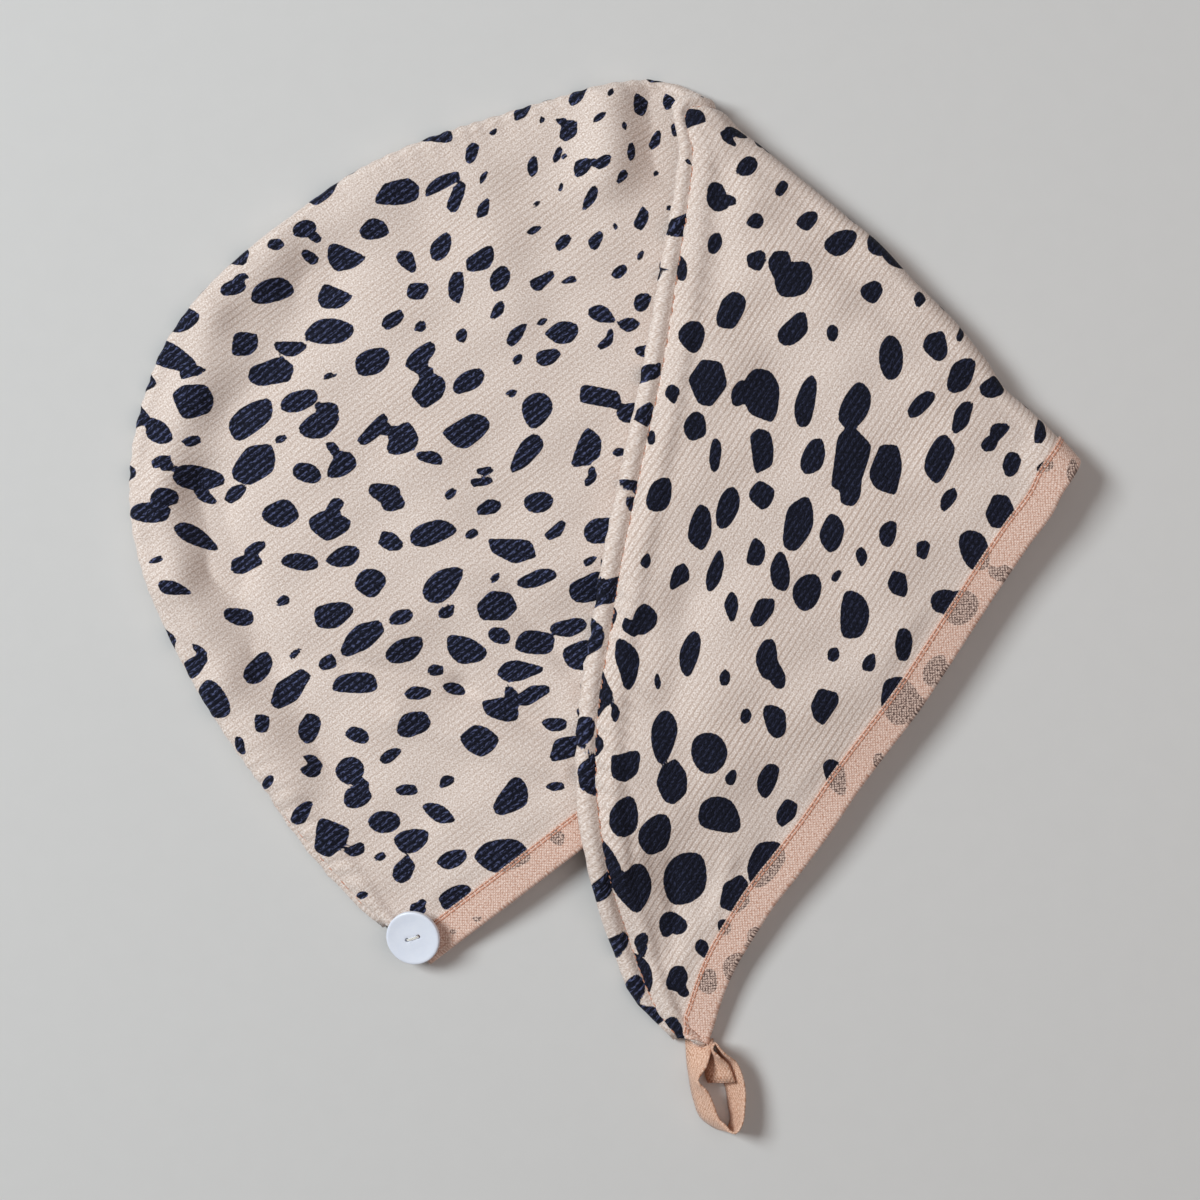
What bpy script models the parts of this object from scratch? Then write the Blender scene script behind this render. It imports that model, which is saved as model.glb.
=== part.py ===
"""A two-layer hair turban towel that lies flat with its tail folded over the crown.

The towel is a flat tube of cloth. Its two panels are sewn together along one long curved edge, the seam edge,
and are open along the other, the hem, where a folded tape binds each of them. A station is a line across the
tube, from the seam edge to the hem. The stations run from the nape over the crown, round the fold and down the
tail to the tip. In the crown a height counts up from the table, in the fold it runs round a cylinder, and in
the tail it counts down from the tail's upper face, so the back panel ends on top.

Plan frames: the crown's has its origin at the nape, x along the hem and y into the crown. The tail's has its
origin where its hem leaves the fold, x along the hem to the tip and y into the tail.
Metres, +Z up, and the origin under the middle of the finished towel.
"""

import math

import bmesh
import bpy
from mathutils import Matrix, Vector

# Outline
CROWN_HEM = 0.3355  # nape to fold, along the opening
CROWN_DEPTH = 0.2844  # opening to the far side of the crown
HEM_TURN = 37.5  # degrees from +X to the crown's hem
FOLD_WIDTH = 0.2388  # hem to seam edge along the fold
FOLD_ANGLE = 98.2  # degrees from the crown's hem to the fold
FOLD_BOW = 0.0057  # how far the middle of the fold bows outwards
TAIL_HEM = 0.2816  # fold to tip, along the opening
TAIL_WIDTH = 0.2230  # the tail across, beside the fold
TAIL_SWING = 20.0  # degrees between the crown's hem and the tail's
TAIL_START = 0.0023  # how far beyond the end of the crown's hem the tail's starts

# Cloth and tape
CLOTH = 0.0018  # one ribbed panel
TAPE = 0.0005  # one wall of the folded tape
TAPE_WIDTH = 0.0125
GAP = 0.0003  # between pieces that touch
SEAM_INSET = 0.0068  # seam line from the rolled edge
SEAM_DIP = 0.0009  # how deep the seam line sinks
SEAM_DIP_WIDTH = 0.0022

# Hollows between the two panels
CROWN_LOFT = 0.0066
FOLD_LOFT = 0.0028
MOUTH_LOFT = 0.0054  # between the two tapes at the crown's opening
RIM_LOFT = 0.0046  # inside the crown's rolled edge
ROLL_LOFT = 0.0030  # inside the tail's rolled edge
TAIL_LOFT = 0.0054
TAIL_MOUTH_LOFT = 0.0068
FOLD_BORE = 0.0026  # radius left open inside the fold
REST_CLEAR = 0.0006  # between the crown and the tail that lies on it
TABLE_CLEAR = 0.0002  # between the table and the tail's tip
DROP_RUN = 0.045  # how far past the crown's hem the tail comes down to the table

# Button and thread
BUTTON_WIDTH = 0.0230
BUTTON_THICK = 0.0026
BUTTON_RIM = 0.0005  # how far the rim stands above the middle
BUTTON_HOLE = 0.0020
BUTTON_HOLE_SPACING = 0.0050
BUTTON_FROM_HEM = 0.0128
BUTTON_FROM_NAPE = 0.0018
BUTTON_TILT = 17.0  # degrees, its outer side down
BUTTON_TILT_TOWARDS = 188.0  # degrees from the crown's hem
BUTTON_REACH = 0.0066  # how far cloth lies under its lowered side
THREAD = 0.0011
SHANK = 0.0015  # radius of the thread wound under the button
THREAD_TURN = 20.0  # degrees from +X to the line through both holes

# Tail loop
LOOP_TAPE_WIDTH = 0.0125
LOOP_TAPE = 0.0009
LOOP_REACH = 0.0365  # joint to the far end of the loop
LOOP_SPREAD = 0.0215  # the loop across
LOOP_TURN = 32.5  # degrees from the tail's hem to the loop

# A station's numbers are shares of the named sizes: along the hem of CROWN_HEM, the seam point of CROWN_HEM and
# CROWN_DEPTH, how squarely the line leaves the seam edge, and the seam line's place of SEAM_INSET. Towards the
# fold the seam points shift with the fold's own end, which stands at SEAM_AT_FOLD by the same shares.
SEAM_AT_FOLD = (0.8985, 0.8311)
FOLD_PULL = 12  # stations over which that shift fades out
CROWN_STATIONS = [
    # hem, seam along, seam deep, square, rim, seam line
    (0.000, -0.018, 0.085, 0.5, 0.55, -0.50),
    (0.020, -0.027, 0.130, 0.5, 0.65, -0.50),
    (0.044, -0.032, 0.180, 0.8, 0.75, -0.50),
    (0.071, -0.035, 0.240, 1.0, 0.85, -0.45),
    (0.101, -0.036, 0.305, 1.0, 0.95, -0.25),
    (0.134, -0.033, 0.380, 1.0, 1.00, 0.10),
    (0.170, -0.027, 0.461, 1.0, 1.00, 0.50),
    (0.209, -0.018, 0.545, 1.0, 1.00, 0.85),
    (0.253, -0.004, 0.636, 1.0, 1.00, 1.00),
    (0.304, 0.019, 0.731, 1.0, 1.00, 1.00),
    (0.361, 0.057, 0.814, 1.0, 1.00, 1.00),
    (0.423, 0.119, 0.893, 1.0, 1.00, 1.00),
    (0.489, 0.209, 0.963, 1.0, 1.00, 1.00),
    (0.557, 0.313, 0.995, 1.0, 1.00, 1.00),
    (0.626, 0.426, 1.000, 1.0, 1.00, 1.00),
    (0.692, 0.531, 0.995, 1.0, 1.00, 1.00),
    (0.754, 0.626, 0.969, 1.0, 0.95, 1.00),
    (0.815, 0.712, 0.934, 0.9, 0.85, 1.00),
    (0.877, 0.787, 0.900, 0.6, 0.75, 1.00),
    (0.939, 0.852, 0.867, 0.3, 0.68, 1.00),
]
# How far round the fold, as a share of half a turn, and where the seam edge starts, as a share of FOLD_WIDTH.
FOLD_STATIONS = [
    (0.0000, 1.0000),
    (0.1667, 0.9700),
    (0.3333, 0.9330),
    (0.5000, 0.9130),
    (0.6667, 0.9180),
    (0.8333, 0.9330),
    (1.0000, 0.9456),
]
TAIL_STATIONS = [
    # hem along, hem in, seam along (of TAIL_HEM), seam in (of TAIL_WIDTH), square, middle, mouth
    (0.050, -0.002, -0.110, 0.952, 0.2, 0.75, 0.30),
    (0.114, 0.002, -0.039, 0.908, 0.4, 0.85, 0.55),
    (0.185, 0.004, 0.043, 0.863, 0.6, 0.95, 0.80),
    (0.259, 0.005, 0.128, 0.816, 0.8, 1.00, 1.00),
    (0.334, 0.006, 0.213, 0.771, 0.8, 1.00, 1.10),
    (0.408, 0.008, 0.298, 0.732, 0.8, 1.00, 1.15),
    (0.483, 0.016, 0.384, 0.691, 0.8, 1.00, 1.15),
    (0.558, 0.023, 0.469, 0.650, 0.8, 1.00, 1.10),
    (0.632, 0.025, 0.558, 0.601, 0.8, 1.00, 1.00),
    (0.703, 0.031, 0.639, 0.558, 0.8, 0.95, 0.85),
    (0.771, 0.039, 0.717, 0.507, 0.9, 0.85, 0.70),
    (0.827, 0.039, 0.788, 0.448, 1.0, 0.70, 0.55),
    (0.874, 0.037, 0.852, 0.379, 1.0, 0.55, 0.40),
    (0.913, 0.030, 0.906, 0.307, 1.0, 0.45, 0.30),
    (0.945, 0.020, 0.952, 0.235, 1.0, 0.35, 0.20),
    (0.969, 0.011, 0.985, 0.179, 1.0, 0.25, 0.10),
    (0.991, 0.004, 1.007, 0.112, 1.0, 0.15, 0.05),
    (1.000, 0.000, 1.017, 0.058, 0.6, 0.10, 0.00),
]
# Soft ridges and dents: both ends and the half width as shares of the hem's length, the rise of the loft.
CROWN_FOLDS = [
    # x0, y0, x1, y1, half width, rise
    (0.02, 0.20, 0.12, 0.60, 0.055, -0.30),
    (0.12, 0.60, 0.40, 0.76, 0.060, -0.26),
    (0.40, 0.76, 0.68, 0.72, 0.060, -0.22),
    (0.28, 0.28, 0.52, 0.12, 0.050, -0.34),
    (0.20, 0.40, 0.50, 0.27, 0.055, 0.22),
    (0.36, 0.52, 0.62, 0.42, 0.060, 0.20),
    (0.10, 0.10, 0.20, 0.05, 0.040, -0.22),
    (0.86, 0.60, 0.74, 0.67, 0.045, -0.42),
]
TAIL_FOLDS = [
    (0.18, 0.50, 0.40, 0.10, 0.060, -0.34),
    (0.46, 0.40, 0.62, 0.28, 0.055, -0.30),
    (0.60, 0.46, 0.80, 0.26, 0.050, -0.30),
    (0.10, 0.30, 0.22, 0.06, 0.050, 0.30),
    (0.36, 0.52, 0.52, 0.46, 0.045, 0.24),
    (0.56, 0.22, 0.74, 0.14, 0.050, 0.30),
]
# The loop's tape, from the tucked cut end round to the joint: its lower edge down and right of the joint and its
# lift, as shares of LOOP_REACH, LOOP_SPREAD and LOOP_TAPE_WIDTH, and how many degrees the tape leans each way.
LOOP_ROWS = [
    # down, right, lift, lean down, lean right
    (0.420, 0.215, 0.22, -7, 62),
    (0.250, 0.150, 0.13, -13, 50),
    (0.110, 0.275, 0.08, -6, 13),
    (0.030, 0.265, 0.06, -8, 1),
    (-0.042, 0.318, 0.06, -7, 2),
    (0.010, 0.385, 0.06, -6, 3),
    (0.105, 0.420, 0.04, -8, 13),
    (0.235, 0.415, 0.00, -16, 35),
    (0.380, 0.520, 0.00, -14, 37),
    (0.530, 0.585, 0.00, -6, 36),
    (0.690, 0.620, 0.00, -2, 30),
    (0.850, 0.665, 0.00, 2, 19),
    (0.955, 0.590, 0.00, 0, 14),
    (0.965, 0.430, 0.00, -5, 20),
    (0.915, 0.260, 0.00, -6, 30),
    (0.820, 0.065, 0.00, -1, 38),
    (0.655, -0.045, 0.00, 0, 38),
    (0.505, -0.110, 0.00, -4, 30),
    (0.368, -0.145, 0.00, -2, 14),
    (0.220, -0.186, 0.00, -4, 37),
    (0.020, -0.215, 0.02, -7, 51),
]

# What follows from the sizes
BINDING = TAPE + GAP  # what the tape adds to each face
HEM_STACK = 2 * CLOTH + 4 * BINDING + GAP  # two bound hems, closed
RIM = CLOTH + RIM_LOFT / 2
ROLL = CLOTH + ROLL_LOFT / 2
FOLD_RADIUS = HEM_STACK + FOLD_BORE
HEM_BAND = TAPE_WIDTH + 0.0012  # the stretch that the tape covers, and a little more
LEVEL_RUN = 0.030  # over which one thickness turns into another
NEAR = 0.0006  # half the run over which a wall's direction is read

# How finely a section is cut
BACK_STEPS = 14
ROLL_STEPS = 8
EDGE_STEPS = 5
FRONT_STEPS = 12
ROLL_REACH = 0.021
EDGE_REACH = 0.010


def smooth(share):
    share = min(max(share, 0.0), 1.0)
    return share * share * (3 - 2 * share)


def mix(a, b, share):
    return a + (b - a) * share


def heading(degrees):
    """The unit vector in plan that points this many degrees round from +X."""
    return Vector((math.cos(math.radians(degrees)), math.sin(math.radians(degrees))))


class Frame:
    """A frame in plan: where its origin lies, and its x and y directions."""

    def __init__(self, origin, along, across):
        self.origin = origin
        self.along = along
        self.across = across

    def out(self, x, y):
        return self.origin + self.along * x + self.across * y

    def back(self, point):
        offset = point - self.origin
        return offset.dot(self.along), offset.dot(self.across)


HEM_HEADING = heading(HEM_TURN)
CROWN = Frame(Vector((0, 0)), HEM_HEADING, heading(HEM_TURN + 90))
FOLD = Frame(CROWN.out(CROWN_HEM, 0), heading(HEM_TURN + FOLD_ANGLE), heading(HEM_TURN + FOLD_ANGLE - 90))
TAIL_HEADING = HEM_TURN + 180 + TAIL_SWING
TAIL = Frame(FOLD.out(-TAIL_START, 0), heading(TAIL_HEADING), heading(TAIL_HEADING - 90))


def segment_distance(point, start, end):
    run = end - start
    share = min(max((point - start).dot(run) / run.length_squared, 0.0), 1.0)
    return (point - start - run * share).length


def folds(table, x, y, length, loft):
    """The rise that a table of soft ridges and dents gives the upper cloth at (x, y)."""
    here = Vector((x, y))
    rise = 0.0
    for x0, y0, x1, y1, half_width, share in table:
        away = segment_distance(here, Vector((x0, y0)) * length, Vector((x1, y1)) * length)
        rise += share * loft * math.exp(-((away / (half_width * length)) ** 2))
    return rise


def crown_stack(point):
    """How thick the crown lies at a point in plan, away from its rolled edge."""
    x, y = CROWN.back(point)
    from_fold = -FOLD.back(point)[1]
    share = smooth(from_fold / (0.5 * CROWN_HEM))
    loft = mix(FOLD_LOFT, CROWN_LOFT, share) + share * folds(CROWN_FOLDS, x, y, CROWN_HEM, CROWN_LOFT)
    mouth = smooth(x / (0.16 * CROWN_HEM)) * smooth(from_fold / (0.5 * CROWN_HEM))
    at_hem = HEM_STACK + MOUTH_LOFT * mouth
    return mix(at_hem, 2 * CLOTH + loft, smooth((y - TAPE_WIDTH) / (2 * LEVEL_RUN)))


def drop(point):
    """How far the tail has come down to the table at a point in plan, from 0 over the crown to 1."""
    return smooth((-CROWN.back(point)[1] - TAPE_WIDTH / 2) / DROP_RUN)


def crown_cover(point):
    """How high the tail's lower face lies."""
    x, y = CROWN.back(point)
    return mix(crown_stack(CROWN.out(x, max(y, 0.0))) + REST_CLEAR, TABLE_CLEAR, drop(point))


class Station:
    """A line across the towel: its run in plan, its thickness, and how a height there is placed in space."""

    def __init__(self, line, rim, seam_line, stack, place):
        self.lengths = [0.0]
        self.line = line
        for a, b in zip(line, line[1:]):
            self.lengths.append(self.lengths[-1] + (b - a).length)
        self.width = self.lengths[-1] - BINDING
        self.rim = rim
        self.stack = stack
        self.place = place
        self.flat = self.width - rim
        self.half_turn = math.pi * (rim - CLOTH / 2)
        self.cut = self.flat + self.half_turn / 2 - seam_line * SEAM_INSET
        self.seam_gap = GAP
        self.tape_width = min(TAPE_WIDTH, 0.8 * self.flat)
        self.band = self.tape_width + HEM_BAND - TAPE_WIDTH

    def plan(self, inward):
        """The point this far along the line from the seam edge."""
        k = 0
        while k < len(self.line) - 2 and self.lengths[k + 1] < inward:
            k += 1
        share = (inward - self.lengths[k]) / (self.lengths[k + 1] - self.lengths[k])
        return self.line[k].lerp(self.line[k + 1], share)

    def thickness(self, inward):
        """From the rolled edge's own thickness to the stack's."""
        point = self.plan(inward)
        return mix(2 * self.rim, self.stack(point, inward), smooth((inward - self.rim) / LEVEL_RUN))

    def middle(self, run):
        """The middle of the cloth's wall, this far along it from the back hem, over the edge to the front hem."""
        from_hem = min(run, 2 * self.flat + self.half_turn - run)
        bound = BINDING * (1 - smooth((from_hem - self.band) / (LEVEL_RUN / 3)))
        if run <= self.flat:
            inward = self.width - run
            height = bound + CLOTH / 2
        elif run <= self.flat + self.half_turn:
            turn = math.pi * (run - self.flat) / self.half_turn
            inward = self.rim - (self.rim - CLOTH / 2) * math.sin(turn)
            height = self.rim - (self.rim - CLOTH / 2) * math.cos(turn)
        else:
            inward = run - self.flat - self.half_turn + self.rim
            height = self.thickness(inward) - bound - CLOTH / 2
        return self.place(self.plan(inward), height, self.thickness(inward))

    def back_runs(self):
        """Where the back panel's section has its points."""
        end = self.cut - self.seam_gap / 2
        edge = min(EDGE_REACH, 0.5 * (end - self.band))
        start = end - edge
        wide = [mix(self.band, start, k / BACK_STEPS) for k in range(BACK_STEPS)]
        return [0.0, *wide, *(mix(start, end, k / EDGE_STEPS) for k in range(EDGE_STEPS + 1))]

    def front_runs(self):
        """Where the front panel's section has its points, from the front hem to the seam."""
        total = 2 * self.flat + self.half_turn
        end = self.cut + self.seam_gap / 2
        edge = min(ROLL_REACH, 0.7 * (total - self.band - end))
        start = end + edge
        wide = [mix(total - self.band, start, k / FRONT_STEPS) for k in range(FRONT_STEPS)]
        return [total, *wide, *(mix(start, end, k / ROLL_STEPS) for k in range(ROLL_STEPS + 1))]


def arched(start, end, start_way, end_way, count=14):
    """Points on a curve from start to end that sets off along start_way and comes in against end_way."""
    reach = (end - start).length / 3
    near = start + start_way * reach
    far = end + end_way * reach
    points = []
    for k in range(count + 1):
        t = k / count
        points.append(
            start * (1 - t) ** 3 + near * 3 * t * (1 - t) ** 2 + far * 3 * t * t * (1 - t) + end * t**3
        )
    return points


def between(before, start, end, after, t):
    """A point of the smooth curve through four others, t of the way from the second to the third."""
    return (
        start
        + (end - before) * t / 2
        + (before * 2 - start * 5 + end * 4 - after) * t * t / 2
        + (start * 3 - before - end * 3 + after) * t**3 / 2
    )


def filled_in(rows, first, last):
    """The rows, with one more halfway between each two from the first to the last."""
    filled = list(rows[: first + 1])
    for k in range(first, last):
        filled.append(tuple(between(*numbers, 0.5) for numbers in zip(*rows[k - 1 : k + 3])))
        filled.append(rows[k + 1])
    return filled + list(rows[last + 1 :])


def crown_stations():
    rows = filled_in(CROWN_STATIONS, 6, 17)
    seam = [CROWN.out(x * CROWN_HEM, y * CROWN_DEPTH) for _, x, y, _, _, _ in rows]
    fold_end = FOLD.out(FOLD_WIDTH, 0)
    shift = fold_end - CROWN.out(SEAM_AT_FOLD[0] * CROWN_HEM, SEAM_AT_FOLD[1] * CROWN_DEPTH)
    seam = [p + shift * smooth(1 - (len(rows) - k) / FOLD_PULL) for k, p in enumerate(seam)]
    seam.append(fold_end)
    stations = []
    for k, (hem, _, _, square, rim, seam_line) in enumerate(rows):
        end = CROWN.out(hem * CROWN_HEM, 0)
        run = (seam[k + 1] - seam[max(k - 1, 0)]).normalized()
        straight = (end - seam[k]).normalized()
        start_way = straight.lerp(Vector((run.y, -run.x)), square).normalized()
        end_way = (-straight).lerp(CROWN.across, square).normalized()
        line = arched(seam[k], end, start_way, end_way)
        near_fold = smooth((k - len(rows) + 3) / 3)
        bowed = [p + FOLD.across * near_fold * fold_bow(FOLD.back(p)[0]) for p in line]
        stack = lambda point, inward: crown_stack(point)
        radius = mix(HEM_STACK / 2, RIM, rim) if k < 5 else CLOTH + RIM_LOFT * rim / 2
        stations.append(Station(bowed, radius, seam_line, stack, place_on_table))
    return stations


def place_on_table(point, height, thickness):
    return Vector((point.x, point.y, height))


def fold_bow(along):
    """How far the fold bows outwards at this distance from its hem."""
    share = min(max((along / FOLD_WIDTH - 0.09) / 0.80, 0.0), 1.0)
    return FOLD_BOW * math.sin(math.pi * share) ** 2


def fold_stations():
    """Parallel lines round the fold, from the crown's upper side to the tail's lower side."""
    stations = []
    for share, start in FOLD_STATIONS:
        turn = math.pi * share

        def place(point, height, thickness, turn=turn):
            radius = FOLD_RADIUS - height
            there = point + FOLD.across * radius * math.sin(turn)
            return Vector((there.x, there.y, FOLD_RADIUS - radius * math.cos(turn)))

        line = []
        for k in range(15):
            along = FOLD_WIDTH * start * (1 - k / 14)
            line.append(FOLD.out(along, fold_bow(along)))
        stations.append(Station(line, ROLL, 1.0, fold_stack, place))
    return stations


def fold_stack(point, inward):
    from_hem = FOLD.back(point)[0]
    return mix(HEM_STACK, 2 * CLOTH + FOLD_LOFT, smooth((from_hem - TAPE_WIDTH) / LEVEL_RUN))


def tail_stations():
    first = FOLD.out(FOLD_WIDTH * FOLD_STATIONS[-1][1], 0)
    seam = [TAIL.out(x * TAIL_HEM, y * TAIL_WIDTH) for _, _, x, y, _, _, _ in TAIL_STATIONS]
    stations = []
    for k, (hem, hem_in, _, _, square, middle, mouth) in enumerate(TAIL_STATIONS):
        end = TAIL.out(hem * TAIL_HEM, hem_in * TAIL_WIDTH)
        before = seam[k - 1] if k else first
        after = seam[min(k + 1, len(seam) - 1)]
        run = (after - before).normalized()
        straight = (end - seam[k]).normalized()
        start_way = straight.lerp(Vector((-run.y, run.x)), square).normalized()
        end_way = (-straight).lerp(TAIL.across, square).normalized()
        line = arched(seam[k], end, start_way, end_way)
        near_fold = 1 - smooth((k + 1) / 3)
        bowed = [p + FOLD.across * near_fold * fold_bow(FOLD.back(p)[0]) for p in line]
        width = sum((b - a).length for a, b in zip(bowed, bowed[1:])) - BINDING

        def stack(point, inward, middle=middle, mouth=mouth, width=width):
            x, y = TAIL.back(point)
            from_fold = smooth(-FOLD.back(point)[1] / (0.2 * TAIL_HEM))
            loft = middle * (TAIL_LOFT + from_fold * folds(TAIL_FOLDS, x, y, TAIL_HEM, TAIL_LOFT))
            from_hem = smooth((width - inward - TAPE_WIDTH) / (2 * LEVEL_RUN))
            return mix(HEM_STACK, 2 * CLOTH + loft, from_hem) + mouth * TAIL_MOUTH_LOFT * drop(point)

        def place(point, height, thickness):
            from_fold = smooth(-FOLD.back(point)[1] / (0.25 * TAIL_HEM))
            top = mix(2 * FOLD_RADIUS, crown_cover(point) + thickness, from_fold)
            return Vector((point.x, point.y, top - height))

        radius = mix(ROLL, HEM_STACK / 2, smooth((k - 11) / 4))
        seam_line = mix(1.0, 0.25, smooth((k - 14.5) / 2.5))
        stations.append(Station(bowed, radius, seam_line, stack, place))
    return stations


def open_seam(stations):
    """Sets how far apart the panels end on each station, which is more where the seam crosses it aslant."""
    seam = [station.middle(station.cut) for station in stations]
    last = len(seam) - 1
    for i, station in enumerate(stations):
        along = (seam[min(i + 1, last)] - seam[max(i - 1, 0)]).normalized()
        across = (station.middle(station.cut + NEAR) - station.middle(station.cut - NEAR)).normalized()
        station.seam_gap = 1.2 * GAP / max(along.cross(across).length, 0.25)


def wall_grid(stations, runs_of):
    """The middle of a panel's wall at each station and run, and its normal there."""
    middles = []
    across = []
    for station in stations:
        runs = runs_of(station)
        middles.append([station.middle(run) for run in runs])
        way = 1 if runs[1] > runs[0] else -1
        across.append([(station.middle(run + NEAR) - station.middle(run - NEAR)) * way for run in runs])
    last = len(middles) - 1
    normals = []
    for i in range(last + 1):
        along = [b - a for a, b in zip(middles[max(i - 1, 0)], middles[min(i + 1, last)])]
        normals.append([a.cross(b).normalized() for a, b in zip(along, across[i])])
    return middles, normals


def seam_dipped(stations, runs_of, middles, normals, inside):
    """The same wall with its edge at the seam line sunk towards the hollow."""
    for station, row, normal_row in zip(stations, middles, normals):
        for j, run in enumerate(runs_of(station)):
            depth = SEAM_DIP * math.exp(-(((run - station.cut) / SEAM_DIP_WIDTH) ** 2))
            row[j] = row[j] + normal_row[j] * inside * depth
    return middles


def strip_sections(middles, normals, thick):
    """A wall's sections, each as its two faces' points."""
    sections = []
    for row, normal_row in zip(middles, normals):
        one = [p + n * thick / 2 for p, n in zip(row, normal_row)]
        other = [p - n * thick / 2 for p, n in zip(row, normal_row)]
        sections.append((one, other))
    return sections


def tape_sections(stations, middles, normals):
    """A U-shaped section round the hem at each station, from the panel's own wall."""
    sections = []
    near = CLOTH / 2 + GAP
    far = near + TAPE
    for station, row, normal_row in zip(stations, middles, normals):
        inward = (row[1] - row[0]).normalized()
        face = (normal_row[0] + normal_row[1]).normalized()
        face = (face - inward * face.dot(inward)).normalized()
        wide = station.tape_width
        outer = [(wide, far), (-GAP - TAPE, far), (-GAP - TAPE, -far), (wide, -far)]
        inner = [(wide, near), (-GAP, near), (-GAP, -near), (wide, -near)]
        place = lambda spots: [row[0] + inward * a + face * b for a, b in spots]
        sections.append((place(outer), place(inner)))
    return sections


def material(name, colour, roughness):
    made = bpy.data.materials.new(name)
    made.use_nodes = True
    shader = made.node_tree.nodes["Principled BSDF"]
    shader.inputs["Base Color"].default_value = (*colour, 1.0)
    shader.inputs["Roughness"].default_value = roughness
    shader.inputs["Metallic"].default_value = 0.0
    return made


def add_object(name, bm, finish):
    bmesh.ops.recalc_face_normals(bm, faces=bm.faces)
    mesh = bpy.data.meshes.new(name)
    bm.to_mesh(mesh)
    bm.free()
    mesh.materials.append(finish)
    mesh.shade_smooth()
    mesh.set_sharp_from_angle(angle=math.radians(40))
    made = bpy.data.objects.new(name, mesh)
    bpy.context.scene.collection.objects.link(made)
    return made


def loft(name, sections, finish, turned=()):
    """A closed strip through sections, each given as the points of its two faces. A turned column of its faces
    is cut along the other diagonal."""
    bm = bmesh.new()
    rings = []
    for one, other in sections:
        rings.append(([bm.verts.new(p) for p in one], [bm.verts.new(p) for p in other]))
    for (one, other), (next_one, next_other) in zip(rings, rings[1:]):
        for j in range(len(one) - 1):
            for here, there in ((one, next_one), (other, next_other)):
                corners = (here[j], here[j + 1], there[j + 1], there[j])
                bm.faces.new(corners[1:] + corners[:1] if j in turned else corners)
        bm.faces.new((one[0], next_one[0], next_other[0], other[0]))
        bm.faces.new((one[-1], other[-1], next_other[-1], next_one[-1]))
    for one, other in (rings[0], rings[-1]):
        for j in range(len(one) - 1):
            bm.faces.new((one[j], other[j], other[j + 1], one[j + 1]))
    return add_object(name, bm, finish)


def panel_and_tape(stations, runs_of, side, panel_name, tape_name, cloth, tape):
    """One panel of the towel and the binding on its hem. Side says which way its hollow lies."""
    middles, normals = wall_grid(stations, runs_of)
    loft(tape_name, tape_sections(stations, middles, normals), tape, turned=(0,))
    middles = seam_dipped(stations, runs_of, middles, normals, side)
    loft(panel_name, strip_sections(middles, normals, CLOTH * side), cloth)


def turned_disc(bm, profile, segments):
    """A solid turned about Z from (radius, height) points that start and end on the axis."""
    edges = []
    verts = [bm.verts.new((r, 0, z)) for r, z in profile]
    for a, b in zip(verts, verts[1:]):
        edges.append(bm.edges.new((a, b)))
    bmesh.ops.spin(
        bm, geom=verts + edges, cent=(0, 0, 0), axis=(0, 0, 1), angle=2 * math.pi, steps=segments,
        use_merge=True,
    )
    bmesh.ops.remove_doubles(bm, verts=bm.verts, dist=1e-6)


def boolean(target, other, operation):
    """Joins or cuts with another object, which is then removed."""
    change = target.modifiers.new(operation.lower(), "BOOLEAN")
    change.operation = operation
    change.object = other
    change.solver = "EXACT"
    graph = bpy.context.evaluated_depsgraph_get()
    mesh = bpy.data.meshes.new_from_object(target.evaluated_get(graph))
    target.modifiers.clear()
    target.data = mesh
    bpy.data.objects.remove(other)


def rod(name, start, end, radius, finish, sides=10):
    bm = bmesh.new()
    run = end - start
    turn = run.to_track_quat("Z", "Y").to_matrix().to_4x4()
    middle = Matrix.Translation((start + end) / 2)
    bmesh.ops.create_cone(
        bm, cap_ends=True, segments=sides, radius1=radius, radius2=radius, depth=run.length,
        matrix=middle @ turn,
    )
    return add_object(name, bm, finish)


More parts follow.
